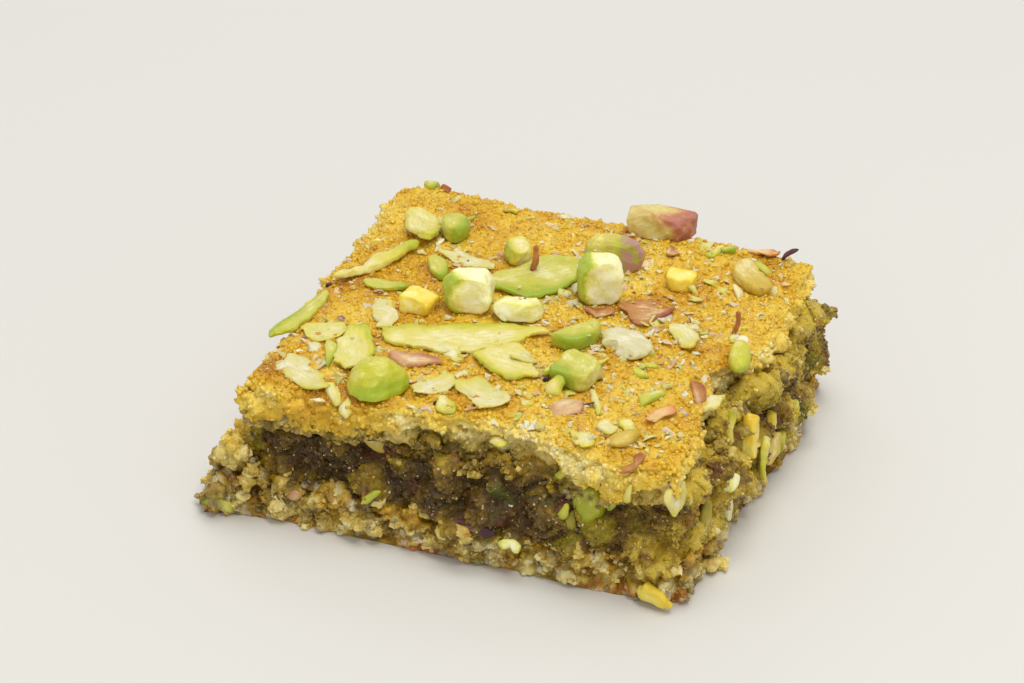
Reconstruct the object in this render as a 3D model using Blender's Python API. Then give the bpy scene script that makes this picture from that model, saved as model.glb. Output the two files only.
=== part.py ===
"""A square-cut slice of slab maamoul: two semolina crusts, a pistachio filling, chopped nuts on top.

The three layers lie on one another and run through the whole slice. Each larger piece of
pistachio on the top is a solid of its own: a kernel, cut by flat planes as a knife cuts it.
Lengths are in millimetres until the last step, which writes them in metres. X runs along the
front cut, Y towards the back, Z up. The slice stands on Z = 0, centred on the origin.
"""

import math
from collections import namedtuple

import bmesh
import bpy
from mathutils import Matrix, Vector, noise
from mathutils.bvhtree import BVHTree

MM = 0.001

# Driving dimensions of the slice.
HALF_SIDE = 23.0          # half of the square cut into the slab
LOW_SEAM = 4.5            # height of the joint between the bottom crust and the filling
HIGH_SEAM = 11.5          # height of the joint between the filling and the top crust
TOP_LEVEL = 16.2          # height of the baked top
EDGE_DROOP = 0.8          # how far the top sinks at its broken edges
CORNER_PULL = 0.05        # how far the square's corners are rubbed round, as a share
EDGE_CROWDING = 0.55      # how strongly the grid lines gather near the edges
GAP = 0.3                 # clearance kept between pieces that touch

# Unevenness: each wave is (size across, height either way).
SEAM_WAVE = (11.0, 0.45)
TOP_WAVE = (14.0, 0.35)
SIDE_LUMP = (3.4, 0.45)
SIDE_LUMP_FLATNESS = 1.6  # side lumps are this much shorter than they are long
DROOP_POWER = 14          # the higher, the closer to the edge the top sinks
CORNER_POWER = 8          # the higher, the closer to a corner both its sides' lumps act
EDGE_SHARE = 0.999        # beyond this share across or along, a point is on a side

LAYER_COLUMNS = 16
LAYER_ROWS = 4

# Kernel mesh, and the small irregularities of a real nut.
KERNEL_SEGMENTS = 14
KERNEL_RINGS = 9
KERNEL_LUMP = 0.07        # depth of its lumps, as a share of its size
KERNEL_LUMPINESS = 1.4    # how many lumps there are from its middle to its end
KERNEL_TAPER = 0.12       # how much slimmer one end is
SEED_STEP = 3.7           # keeps the lumps of one kernel unlike those of the next
CUT_TOLERANCE = 1e-4      # corners this near a knife cut count as lying on it
DROP_HEIGHT = 40.0        # pieces start from here and are lowered
CREASE_DEGREES = 38       # edges sharper than this stay sharp when shaded

# One side of a layer: how far it reaches from the centre at the layer's foot, middle and top,
# and its bulges (+) and bites (-) as (place along the side, half width, amount).
Side = namedtuple("Side", "foot middle top bulges")

# One layer: its name, its seams below and above, its four sides, its colour and roughness.
Layer = namedtuple("Layer", "name below above left right front back colour roughness")

# One piece of nut. kernel: length, width and height of the kernel it was cut from.
# slab: the lowest and highest level kept, as shares of the half height.
# trims: further knife cuts as (direction in degrees, distance from the kernel's centre).
# bend: how far the ends curl up. at: x, y. turn: heading, pitch and roll in degrees.
Nut = namedtuple("Nut", "name kernel slab trims bend at turn look")

LAYERS = (
    Layer(
        name="bottom_crust", below=0.0, above=LOW_SEAM,
        left=Side(26.8, 27.4, 26.2, ((-21, 6, 3.4), (4, 7, -0.6), (19, 5, 0.5))),
        right=Side(24.4, 24.8, 24.4, ((-20, 4, 0.5), (-8, 4, -0.7), (9, 6, 0.8))),
        front=Side(22.7, 23.1, 22.6, ((-26, 9, 3.0), (-8, 3, 0.3), (8, 4, -0.4), (23, 4, -0.9))),
        back=Side(23.0, 23.3, 23.0, ((-12, 5, -0.5), (10, 6, 0.3))),
        colour="C9B27A", roughness=0.75,
    ),
    Layer(
        name="filling", below=LOW_SEAM, above=HIGH_SEAM,
        left=Side(25.7, 25.2, 24.4, ((-20, 5, -2.4), (2, 5, -0.5), (18, 7, 1.4))),
        right=Side(24.5, 24.7, 24.2, ((-21, 3, -0.6), (-12, 3, 0.5), (-4, 3, -1.4), (8, 6, 0.9))),
        front=Side(22.4, 22.1, 21.7, ((-25, 4, -0.8), (-12, 4, -0.4), (2, 6, 0.4), (20, 4, -0.3))),
        back=Side(22.9, 22.9, 22.6, ((-8, 5, 0.4), (6, 4, -0.6))),
        colour="564428", roughness=0.55,
    ),
    Layer(
        name="top_crust", below=HIGH_SEAM, above=TOP_LEVEL,
        left=Side(24.2, 24.4, 23.7, ((2, 8, 1.2), (19, 10, 2.6), (-20, 5, 0.4))),
        right=Side(23.2, 23.9, 23.3, ((-3.5, 3.8, -3.4), (-11, 2.4, -1.3), (7, 5, 0.7))),
        front=Side(22.1, 22.5, 22.0, ((3, 7.5, -2.2), (-20, 5, 0.8), (16, 4, 0.8))),
        back=Side(23.3, 23.7, 23.2, ((-18, 5, 0.6), (-8, 4, -0.3), (7, 8, 0.8), (20, 4, 0.6))),
        colour="D8B344", roughness=0.6,
    ),
)

# A lump of top crust that broke off and lies on the ledge of the bottom crust.
BROKEN_SIZE = (4.8, 5.6, 4.4)
BROKEN_PLACE = (-25.8, -22.8)
BROKEN_COLOUR = "CBA73E"
BROKEN_ROUGHNESS = 0.7
BROKEN_BLUNTNESS = 0.55   # 1 is an egg, 0 is a brick
BROKEN_LUMP = 0.1
BROKEN_LUMPINESS = 1.7

# Looks of the nut pieces: colour and roughness.
LOOKS = {
    "green": ("A9B83A", 0.5),
    "pale": ("E9E6A6", 0.55),
    "yellow": ("E6CA40", 0.5),
    "white": ("EDE8CC", 0.5),
    "pink": ("CC9868", 0.55),
}

NUTS = (
    # Low pieces first, so that the ones above can rest on them.
    Nut("nut_long_slice", (18.2, 6.4, 7.0), (-0.1, 0.18), ((97, 2.4), (-62, 3.2)), 0.4,
        (-5.3, -6.6), (19, 0, 0), "pale"),
    Nut("nut_upper_slice", (9.2, 6.2, 8.0), (-0.05, 0.22), ((65, 1.9), (170, 3.2), (-25, 3.6)), 0.1,
        (1.0, -9.6), (-28, 0, -10), "pale"),
    Nut("nut_round_end", (6.5, 6.3, 7.6), (0.0, 1.0), (), 0.0,
        (-10.0, -18.5), (20, 0, 0), "green"),
    Nut("nut_left_block", (8.2, 5.6, 5.4), (-0.75, 0.72), ((0, 1.8), (180, 1.9), (90, 2.4)), 0.0,
        (-7.7, -0.5), (-72, -6, 0), "pale"),
    Nut("nut_low_wedge", (7.4, 5.4, 3.6), (-0.6, 0.7), ((0, 1.3), (180, 1.3), (60, 2.0)), 0.0,
        (-1.9, -0.9), (-78, -12, 0), "pale"),
    Nut("nut_large_slice", (12.0, 7.6, 8.0), (0.0, 0.25), ((200, 4.6), (90, 3.2)), 0.4,
        (-3.2, 7.2), (62, 0, 0), "green"),
    Nut("nut_tall_block", (8.4, 5.4, 6.2), (-0.75, 0.82), ((0, 1.7), (180, 1.6), (90, 2.2)), 0.0,
        (4.5, 6.2), (-67, -4, 0), "pale"),
    Nut("nut_skinned_chunk", (7.6, 3.0, 5.2), (-0.7, 0.95), ((180, 2.8), (90, 1.2)), 0.0,
        (3.2, 12.6), (24, 0, -8), "pink"),
    Nut("nut_small_wedge", (4.2, 3.2, 3.2), (-0.6, 0.6), ((20, 1.4), (200, 1.5)), 0.0,
        (-6.7, 10.6), (-60, 8, 0), "pale"),
    Nut("nut_pink_chunk", (6.6, 2.6, 3.0), (-0.45, 0.5), ((25, 2.5), (205, 2.5), (90, 1.0)), 0.0,
        (-8.8, -12.8), (12, 0, -12), "pink"),
    Nut("nut_front_flake", (6.2, 2.9, 6.0), (0.0, 0.2), ((-20, 2.4), (160, 2.7)), 0.2,
        (-4.7, -16.7), (50, 4, 0), "white"),
    Nut("nut_curved_flake", (7.2, 4.2, 6.4), (0.0, 0.2), ((10, 3.0), (175, 2.8)), 0.4,
        (0.6, -16.4), (-34, 0, 4), "pale"),
    Nut("nut_green_half", (6.0, 5.4, 5.0), (-0.35, 0.35), ((90, 0.2),), 0.0,
        (5.0, -2.5), (55, 0, 0), "green"),
    Nut("nut_white_lump", (5.6, 4.6, 3.8), (-0.5, 0.6), ((40, 2.2), (150, 2.1), (270, 1.7)), 0.0,
        (10.7, -1.8), (-20, 0, 0), "white"),
    Nut("nut_square_chunk", (6.6, 5.0, 5.6), (-0.4, 0.4), ((90, 1.8), (180, 2.1), (10, 2.3)), 0.0,
        (8.3, -9.9), (-18, 0, 3), "green"),
    Nut("nut_brown_skin", (6.2, 5.0, 5.0), (0.0, 0.28), ((30, 2.3), (200, 2.3), (300, 2.0)), 0.3,
        (10.2, 5.2), (35, 0, 0), "pink"),
    Nut("nut_yellow_cube", (4.6, 3.2, 2.8), (-0.55, 0.6), ((0, 1.5), (180, 1.4), (90, 1.2)), 0.0,
        (11.6, 11.8), (6, 0, 0), "yellow"),
    Nut("nut_back_chunk", (9.4, 4.4, 5.0), (-0.5, 0.75), ((0, 3.6), (180, 3.7), (270, 1.7)), 0.0,
        (5.4, 22.8), (8, 0, 0), "pink"),
    Nut("nut_back_half", (7.0, 4.6, 4.6), (-0.25, 0.3), ((80, 0.7),), 0.0,
        (18.6, 16.0), (-42, 0, 0), "yellow"),
    Nut("nut_edge_seed", (6.0, 2.3, 2.2), (-0.55, 0.8), (), 0.0,
        (22.2, 0.2), (106, 0, 0), "green"),
    Nut("nut_right_flake", (5.4, 2.8, 5.0), (0.0, 0.26), ((175, 2.2),), 0.2,
        (15.7, 1.7), (-52, 0, 0), "white"),
    Nut("nut_left_flakes", (7.4, 1.9, 4.6), (0.0, 0.22), ((10, 3.2),), 0.4,
        (-11.5, 8.0), (-12, 0, 0), "white"),
    Nut("nut_green_sliver", (5.0, 2.2, 4.2), (-0.1, 0.3), (), 0.2,
        (-13.9, 5.2), (-50, 0, 0), "green"),
    Nut("nut_yellow_chunk", (5.0, 3.8, 3.6), (-0.5, 0.55), ((0, 1.8), (180, 1.7), (270, 1.3)), 0.0,
        (-12.5, -2.9), (-8, 0, 0), "yellow"),
    Nut("nut_white_flake", (7.2, 2.8, 5.4), (0.0, 0.24), ((150, 2.0), (-30, 2.6)), 0.3,
        (-15.6, -4.7), (-62, 0, 0), "white"),
    Nut("nut_small_sliver", (5.4, 1.8, 4.0), (-0.1, 0.3), (), 0.2,
        (-17.6, -0.1), (6, 0, 0), "green"),
    Nut("nut_standing_slice", (8.6, 3.9, 5.0), (-0.1, 0.3), ((0, 3.8), (160, 3.6)), 0.3,
        (-19.1, 12.4), (-62, -10, -20), "pale"),
    Nut("nut_left_chunk", (4.8, 3.1, 3.6), (-0.5, 0.6), ((170, 1.8),), 0.0,
        (-15.4, 13.2), (-64, 0, 0), "green"),
    Nut("nut_left_strip", (12.2, 1.9, 4.0), (-0.1, 0.3), (), 0.4,
        (-20.6, 3.4), (63, 0, -6), "pale"),
    Nut("nut_edge_sliver", (11.0, 2.1, 4.4), (-0.1, 0.26), (), 0.3,
        (-23.4, -9.0), (82, 0, -6), "green"),
    Nut("nut_corner_flake", (8.6, 3.7, 6.4), (0.0, 0.18), ((80, 1.4), (190, 3.4)), 0.3,
        (-18.2, -19.2), (-28, 0, 0), "pale"),
    Nut("nut_left_flake", (5.8, 3.5, 6.0), (0.0, 0.2), ((10, 2.2), (200, 2.3)), 0.2,
        (-19.5, -11.0), (24, 0, 0), "pale"),
    Nut("nut_folded_slice", (9.6, 4.0, 6.6), (-0.05, 0.2), ((175, 4.2),), 0.5,
        (-15.1, -13.4), (-70, 0, 8), "green"),
    Nut("nut_right_chip", (4.6, 2.4, 4.6), (0.0, 0.24), ((0, 1.9), (180, 1.8)), 0.1,
        (12.8, -20.0), (-48, 0, 0), "pale"),
)


def clear_scene():
    """Remove every object, so that the model is all that is left."""
    for item in list(bpy.data.objects):
        bpy.data.objects.remove(item, do_unlink=True)


def linear_channel(value):
    """Turn one sRGB channel into the linear value that a shader takes."""
    if value <= 0.04045:
        return value / 12.92
    return ((value + 0.055) / 1.055) ** 2.4


def material(name, colour, roughness):
    """Make a plain material of one colour, given as a hex code."""
    channels = [int(colour[start:start + 2], 16) / 255 for start in (0, 2, 4)]
    result = bpy.data.materials.new(name)
    result.use_nodes = True
    shader = result.node_tree.nodes["Principled BSDF"]
    shader.inputs["Base Color"].default_value = (*map(linear_channel, channels), 1.0)
    shader.inputs["Roughness"].default_value = roughness
    shader.inputs["Metallic"].default_value = 0.0
    return result


def wave(x, y, wave_size, seed):
    """Height of a gentle wave, given as (size across, height either way)."""
    size, height = wave_size
    return height * noise.noise(Vector((x / size, y / size, seed)))


def seam(x, y, level):
    """Height of a joint between two layers, or of the flat underside."""
    if level == 0.0:
        return 0.0
    if level == TOP_LEVEL:
        return level + wave(x, y, TOP_WAVE, level)
    return level + wave(x, y, SEAM_WAVE, level)


def seam_gap(level):
    """Half of the clearance at a joint. The underside and the baked top have none."""
    return GAP / 2 if level in (LOW_SEAM, HIGH_SEAM) else 0.0


def reach(side, along, height):
    """Distance of a side from the centre, at a place along it and a share of its height."""
    lower = side.foot * (1 - height) * (1 - 2 * height)
    middle = side.middle * 4 * height * (1 - height)
    upper = side.top * height * (2 * height - 1)
    bulges = sum(amount * math.exp(-((along - place) / width) ** 2)
                 for place, width, amount in side.bulges)
    return lower + middle + upper + bulges


def crowd(share):
    """Move a grid line at -1 to 1 towards the nearer edge."""
    return (1 - EDGE_CROWDING) * share + EDGE_CROWDING * math.sin(share * math.pi / 2)


def droop(across, along, level):
    """How far the baked top sinks near its edges. The joints don't sink."""
    if level != TOP_LEVEL:
        return 0.0
    nearness = max(abs(across), abs(along)) ** DROOP_POWER
    return EDGE_DROOP * nearness


def layer_point(layer, across, along, height):
    """Place one point of a layer, given as shares: -1 to 1 across and along, 0 to 1 up."""
    u = crowd(across)
    v = crowd(along)
    round_u = u * math.sqrt(1 - CORNER_PULL * v * v)
    round_v = v * math.sqrt(1 - CORNER_PULL * u * u)
    left = reach(layer.left, v * HALF_SIDE, height)
    right = reach(layer.right, v * HALF_SIDE, height)
    front = reach(layer.front, u * HALF_SIDE, height)
    back = reach(layer.back, u * HALF_SIDE, height)
    x = (right - left) / 2 + (right + left) / 2 * round_u
    y = (back - front) / 2 + (back + front) / 2 * round_v
    low = seam(x, y, layer.below) + seam_gap(layer.below)
    high = seam(x, y, layer.above) - seam_gap(layer.above) - droop(across, along, layer.above)
    z = low + (high - low) * height
    if max(abs(across), abs(along)) > EDGE_SHARE:
        size, amount = SIDE_LUMP
        push = amount * noise.noise(Vector((x, y, SIDE_LUMP_FLATNESS * z)) / size)
        x += push * math.copysign(abs(across) ** CORNER_POWER, across)
        y += push * math.copysign(abs(along) ** CORNER_POWER, along)
    return Vector((x, y, z))


def layer_mesh(layer):
    """Build a layer as a unit block with a grid of faces, then bend it to the layer's form."""
    bm = bmesh.new()
    bmesh.ops.create_grid(bm, x_segments=LAYER_COLUMNS, y_segments=LAYER_COLUMNS, size=1.0)
    raised = bmesh.ops.extrude_face_region(bm, geom=bm.faces[:])["geom"]
    lid = [item for item in raised if isinstance(item, bmesh.types.BMVert)]
    bmesh.ops.translate(bm, verts=lid, vec=(0.0, 0.0, 1.0))
    upright = [edge for edge in bm.edges
               if abs(edge.verts[0].co.z - edge.verts[1].co.z) > 0.5]
    bmesh.ops.subdivide_edges(bm, edges=upright, cuts=LAYER_ROWS - 1, use_grid_fill=True)
    for vert in bm.verts:
        vert.co = layer_point(layer, *vert.co)
    bmesh.ops.recalc_face_normals(bm, faces=bm.faces[:])
    return bm


def kernel_mesh(nut, seed):
    """Build a pistachio kernel along X, a little lumpy and slimmer at one end."""
    bm = bmesh.new()
    bmesh.ops.create_uvsphere(bm, u_segments=KERNEL_SEGMENTS, v_segments=KERNEL_RINGS, radius=1.0)
    length, width, height = nut.kernel
    elsewhere = Vector((seed * SEED_STEP, 0.0, 0.0))
    for vert in bm.verts:
        lump = 1 + KERNEL_LUMP * noise.noise(vert.co * KERNEL_LUMPINESS + elsewhere)
        slim = 1 - KERNEL_TAPER * vert.co.x
        vert.co = Vector((
            vert.co.x * length / 2,
            vert.co.y * width / 2 * slim,
            vert.co.z * height / 2,
        )) * lump
    return bm


def knife_cut(bm, point, direction):
    """Cut the piece with a plane, drop what lies beyond it and close the cut face."""
    whole = bm.verts[:] + bm.edges[:] + bm.faces[:]
    cut = bmesh.ops.bisect_plane(
        bm, geom=whole, dist=CUT_TOLERANCE, plane_co=point, plane_no=direction, clear_outer=True)
    rim = [item for item in cut["geom_cut"] if isinstance(item, bmesh.types.BMEdge)]
    bmesh.ops.holes_fill(bm, edges=rim, sides=0)


def nut_mesh(nut, seed):
    """Cut one piece out of a kernel and turn it as it lies, still at the origin's height."""
    bm = kernel_mesh(nut, seed)
    half_height = nut.kernel[2] / 2
    low, high = nut.slab
    if low > -1.0:
        knife_cut(bm, Vector((0.0, 0.0, low * half_height)), Vector((0.0, 0.0, -1.0)))
    if high < 1.0:
        knife_cut(bm, Vector((0.0, 0.0, high * half_height)), Vector((0.0, 0.0, 1.0)))
    for angle, distance in nut.trims:
        direction = Vector((math.cos(math.radians(angle)), math.sin(math.radians(angle)), 0.0))
        knife_cut(bm, direction * distance, direction)
    bmesh.ops.triangulate(bm, faces=bm.faces[:])
    half_length = nut.kernel[0] / 2
    for vert in bm.verts:
        vert.co.z += nut.bend * (vert.co.x / half_length) ** 2
    heading, pitch, roll = map(math.radians, nut.turn)
    turned = (Matrix.Rotation(heading, 4, "Z") @ Matrix.Rotation(pitch, 4, "Y")
              @ Matrix.Rotation(roll, 4, "X"))
    bmesh.ops.transform(bm, matrix=turned, verts=bm.verts[:])
    bmesh.ops.translate(bm, verts=bm.verts[:], vec=(*nut.at, DROP_HEIGHT))
    bmesh.ops.recalc_face_normals(bm, faces=bm.faces[:])
    return bm


def broken_lump_mesh():
    """Build the lump of broken crust as a blunt, uneven block above its place."""
    bm = bmesh.new()
    bmesh.ops.create_uvsphere(bm, u_segments=KERNEL_SEGMENTS, v_segments=KERNEL_RINGS, radius=1.0)
    for vert in bm.verts:
        blunt = [math.copysign(abs(value) ** BROKEN_BLUNTNESS, value) for value in vert.co]
        lump = 1 + BROKEN_LUMP * noise.noise(vert.co * BROKEN_LUMPINESS)
        vert.co = Vector([value * size / 2 * lump for value, size in zip(blunt, BROKEN_SIZE)])
    bmesh.ops.translate(bm, verts=bm.verts[:], vec=(*BROKEN_PLACE, DROP_HEIGHT))
    bmesh.ops.recalc_face_normals(bm, faces=bm.faces[:])
    return bm


def feelers(bm):
    """List the points that can touch first: corners, and the middles of edges and faces."""
    points = [vert.co.copy() for vert in bm.verts]
    points += [(edge.verts[0].co + edge.verts[1].co) / 2 for edge in bm.edges]
    points += [face.calc_center_median() for face in bm.faces]
    return points


def lower_onto(bm, supports):
    """Lower a piece until it lies one gap above whatever is under it."""
    piece_tree = BVHTree.FromBMesh(bm)
    piece_points = feelers(bm)
    down = Vector((0.0, 0.0, -1.0))
    drops = []
    for tree, points in supports:
        for point in piece_points:
            distance = tree.ray_cast(point, down)[3]
            if distance is not None:
                drops.append(distance)
        for point in points:
            distance = piece_tree.ray_cast(point, -down)[3]
            if distance is not None:
                drops.append(distance)
    bmesh.ops.translate(bm, verts=bm.verts[:], vec=down * (min(drops) - GAP))


def add_object(name, bm, look):
    """Write a mesh, still in millimetres, as a smooth-shaded object in metres."""
    bmesh.ops.transform(bm, matrix=Matrix.Scale(MM, 4), verts=bm.verts[:])
    mesh = bpy.data.meshes.new(name)
    bm.to_mesh(mesh)
    bm.free()
    mesh.shade_smooth()
    mesh.set_sharp_from_angle(angle=math.radians(CREASE_DEGREES))
    mesh.materials.append(look)
    item = bpy.data.objects.new(name, mesh)
    bpy.context.scene.collection.objects.link(item)
    return item


def centre_on_origin(items):
    """Move the whole slice so that the middle of its box stands over the origin."""
    corners = [vert.co for item in items for vert in item.data.vertices]
    middle_x = (min(co.x for co in corners) + max(co.x for co in corners)) / 2
    middle_y = (min(co.y for co in corners) + max(co.y for co in corners)) / 2
    for item in items:
        item.data.transform(Matrix.Translation((-middle_x, -middle_y, 0.0)))


def build():
    """Build the layers, then lay the broken lump and the nuts on them one by one."""
    clear_scene()
    items = []
    supports = []

    def keep(name, bm, look):
        supports.append((BVHTree.FromBMesh(bm), feelers(bm)))
        items.append(add_object(name, bm, look))

    for layer in LAYERS:
        look = material(layer.name, layer.colour, layer.roughness)
        keep(layer.name, layer_mesh(layer), look)
    lump = broken_lump_mesh()
    ledge = supports[:1]
    lower_onto(lump, ledge)
    keep("broken_crust", lump, material("broken_crust", BROKEN_COLOUR, BROKEN_ROUGHNESS))
    for seed, nut in enumerate(NUTS, start=1):
        bm = nut_mesh(nut, seed)
        lower_onto(bm, supports)
        keep(nut.name, bm, material(nut.name, *LOOKS[nut.look]))
    centre_on_origin(items)


build()
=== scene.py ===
"""Looks of a square-cut slice of pistachio slab maamoul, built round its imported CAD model.

Two semolina crusts hold a dark pistachio filling, and chopped pistachios lie on the baked top.
Each CAD node is shown by a finer piece made from it: its surface is divided again, broken up into
grains and lumps, and coloured by how each point was baked, soaked or cut. Grains, crumbs, small
flakes and the nut pieces that stick out of the cut faces come on top.
Shapes are worked out in millimetres and written in metres.
"""

import math
import random
from collections import namedtuple

import bmesh
import bpy
from bpy.props import FloatProperty, FloatVectorProperty, IntProperty, PointerProperty
from mathutils import Matrix, Vector, noise
from mathutils.bvhtree import BVHTree
from mathutils.kdtree import KDTree


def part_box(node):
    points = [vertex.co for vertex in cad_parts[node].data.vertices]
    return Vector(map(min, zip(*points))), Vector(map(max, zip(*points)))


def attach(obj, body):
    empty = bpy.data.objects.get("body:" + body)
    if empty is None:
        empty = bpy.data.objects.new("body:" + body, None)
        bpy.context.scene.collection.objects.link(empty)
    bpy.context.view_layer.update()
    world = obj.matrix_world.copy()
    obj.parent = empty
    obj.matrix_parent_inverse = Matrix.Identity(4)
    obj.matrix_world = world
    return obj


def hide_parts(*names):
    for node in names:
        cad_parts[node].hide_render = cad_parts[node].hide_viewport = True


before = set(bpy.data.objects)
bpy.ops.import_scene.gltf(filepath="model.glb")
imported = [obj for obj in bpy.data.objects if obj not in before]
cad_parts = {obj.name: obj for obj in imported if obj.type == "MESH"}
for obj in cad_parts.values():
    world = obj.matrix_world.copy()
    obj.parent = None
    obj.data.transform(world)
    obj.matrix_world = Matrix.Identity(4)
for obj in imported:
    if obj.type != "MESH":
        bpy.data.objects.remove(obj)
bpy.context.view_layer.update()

bl_info = {
    "name": "Maamoul Slice",
    "version": (1, 0, 0),
    "blender": (4, 5, 0),
    "location": "3D View > Sidebar > Maamoul",
    "description": "Builds the looks of a slice of pistachio maamoul",
    "category": "Object",
}

MM = 0.001
UP = Vector((0.0, 0.0, 1.0))
SIDES = {"front": Vector((0, -1, 0)), "back": Vector((0, 1, 0)), "right": Vector((1, 0, 0)),
         "left": Vector((-1, 0, 0))}
# Marks on crumb: how pale it is, how soaked, how much it takes its other colours, and which.
MARKS = ("tone", "soak", "share", "kind")
# Lengths in millimetres.
MERGE = 0.002             # corners of the CAD mesh this near one another are one corner
CLEARANCE = 0.02          # no crumb or grain reaches lower than this above the floor
CAST_FROM = 60.0          # rays towards the slice start this far from its middle
MAX_DROP = 1.2            # a nut never settles by more than this
BEDDING = 0.08            # how far the lowest part of a nut sinks into the crumb
# Shares and counts.
BATCH = 200               # grains are made in batches of this many, which is much faster
THIN = 0.8                # a nut piece with less than this share of its solid's height is a flake
GLAZED = 1.4              # the soak of a grain that glints
SAME_PLANE = 0.993        # faces whose normals have at least this product lie in one flat region
CUT_SHARE = 0.085         # a flat region with more than this share of a nut's area is a knife cut
CLUSTER_SEED = 58
SHRED_SEED = 77
NOISE_SEED = 5            # fixes the noise vectors, so that every run gives the same shapes
noise.seed_set(NOISE_SEED)

# Places along the front cut and along the right cut (x or y, z): the golden skin ends there.
GOLD_FRONT = ((-22, 12.0), (-18, 11.8), (-15, 11.2), (-8, 11.6), (-5, 12.8), (-2, 13.6), (2, 14.4),
              (10, 14.9), (13, 13.8), (16, 12.0), (18, 11.2), (20, 11.6), (23, 13.4), (26, 15.0))
GOLD_RIGHT = ((-21, 13.0), (-13, 14.2), (-10, 15.6), (-4, 15.9), (0, 15.4), (4, 13.6), (12, 13.0),
              (23, 13.6))
GOLD_OTHER = 13.4         # and this is how high it ends on the other two cuts

# Colours by tone, as (place, hex). Golden skin: from pale to syrup amber. The others: from the
# darkest, most soaked place to the palest crumb.
SKIN_STOPS = ((0.0, "FAEAA4"), (0.25, "F4D864"), (0.5, "EAC236"), (0.75, "DAA71A"), (1.0, "BC800C"))
CRUMB_STOPS = (
    (0.0, "604C20"), (0.25, "927A2E"), (0.5, "C4A94A"), (0.75, "E0C86C"), (1.0, "F0DF9C"))
BASE_STOPS = ((0.0, "583E12"), (0.25, "966E0E"), (0.5, "C69C26"), (0.75, "DCC468"), (1.0, "ECE0AA"))
GLASSY_STOPS = ((0.0, "8A7226"), (0.3, "B29C4C"), (0.6, "CCBA7A"), (1.0, "E4D8A8"))
# Sugar, pale to nearly white: partly real sugar, partly painted glints.
SUGAR_AND_GLINT_STOPS = ((0.3, "E2C670"), (0.5, "F0DCA0"), (0.7, "FFF4D0"))
BROWNED_STOPS = ((0.0, "DEA448"), (0.5, "C67E28"), (1.0, "98561C"))
PASTE_STOPS = (
    (0.0, "402F0E"), (0.25, "573F10"), (0.5, "806418"), (0.75, "AE8E22"), (1.0, "D4B840"))
# Nut lumps inside the filling: dark green, olive, yellow, brown, purple.
LUMP_STOPS = ((0.0, "4C5418"), (0.25, "747018"), (0.5, "B09A14"), (0.75, "845E1E"), (1.0, "5A3420"))

# Patches of another colour: (hex, size in millimetres, noise level where it starts, strength).
CRUST_TINTS = (("CC8424", 3.4, 0.58, 0.45), ("F8E8B4", 0.9, 0.62, 0.35))
BASE_TINTS = (("8C7408", 3.0, 0.53, 0.8), ("E2DAB2", 2.2, 0.54, 0.7), ("6A3420", 1.3, 0.64, 0.8))
PASTE_TINTS = (("602A18", 2.4, 0.55, 0.75), ("A8945C", 0.8, 0.62, 0.5), ("50581C", 3.4, 0.6, 0.6))

# How crumb looks: its colours by tone, its other colours by kind, its tints, the size of a grain
# in millimetres, the roughness of a dry and of a soaked grain, how much light enters it, and how
# deep its grains are dented in millimetres.
Crumb = namedtuple("Crumb", "stops others tints grain dry wet soft dent")
CRUMBS = {
    # Baked semolina dough brushed with syrup: dull grains, some of them glazed.
    "baked semolina crust": Crumb(
        CRUMB_STOPS, SKIN_STOPS, CRUST_TINTS, 0.45, 0.42, 0.13, 0.28, 0.14),
    # Ground pistachio, sugar and syrup: dark and moist, with a glint on each wet grain.
    "ground pistachio paste": Crumb(
        PASTE_STOPS, LUMP_STOPS, PASTE_TINTS, 0.45, 0.28, 0.09, 0.1, 0.2),
    # The same dough soaked in butter and syrup: glassy pale grains over a browned skin.
    "soaked semolina crust": Crumb(
        BASE_STOPS, BROWNED_STOPS, BASE_TINTS, 0.5, 0.34, 0.12, 0.6, 0.14),
    # Semolina grains swollen in syrup and butter: pale, glassy and wet.
    "glassy semolina": Crumb(GLASSY_STOPS, GLASSY_STOPS, (), 0.6, 0.2, 0.07, 0.5, 0.03),
}
FRESH_CUT = "FFF8E0"      # the white that the middle of a cut nut turns to

# How one kind of nut piece looks. middle: the middle of a cut face. rim: its edge, under the skin.
# skin: the outside of the kernel. peel: the papery coat left on it, and how much of it there is.
Finish = namedtuple("Finish", "middle rim skin peel coat roughness")
FINISHES = {name: Finish(*row) for name, row in {
    "pale": ("E4D888", "D8CC48", "BCC038", "C9A27C", 0.04, 0.38),
    "cream": ("FFF6BE", "E8E470", "B0C03A", "C9A27C", 0.0, 0.36),
    "green": ("CEC858", "BCBC34", "9EB22C", "B09A60", 0.04, 0.32),
    "vivid": ("CEC83E", "C4C434", "AEBE2C", "98A838", 0.0, 0.22),
    "moss": ("B0B02C", "9AA222", "80921C", "66702A", 0.1, 0.1),
    "yellow": ("D4BA54", "CCAE3C", "C6A630", "D2A860", 0.04, 0.34),
    "lemon": ("FBE05A", "F2D03C", "E4C032", "D2A860", 0.0, 0.3),
    "white": ("E2D698", "D8CC5E", "CCC44A", "DDBCA8", 0.04, 0.38),
    "grey": ("DAD2AA", "D0C888", "CCC47C", "DDBCA8", 0.0, 0.3),
    "pink": ("DAB480", "CE9A68", "BC7E60", "A86E64", 0.45, 0.46),
    "rosy": ("DCD07E", "D8AE6E", "CA8C64", "B87660", 0.45, 0.46),
    "skinned": ("D8CC54", "C8C43C", "B0B836", "BC9284", 0.42, 0.40),
    "peel": ("C48C4C", "B4703C", "9C563A", "8A4638", 0.45, 0.46),
    "plum": ("64343A", "58292F", "48222B", "3A1C24", 0.40, 0.40),
    "olive": ("A8982E", "948824", "7A721E", "6A562C", 0.20, 0.26),
    "peach": ("EEC084", "E4A868", "D48A54", "C07A58", 0.25, 0.42),
    # Near-black pieces: painted shade in the gaps under the edges of two small pieces on the top.
    "painted_shadow": ("1E1612", "1A1310", "15100D", "100C0A", 0.0, 0.4),
}.items()}
FINISH_ORDER = tuple(FINISHES)

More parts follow.
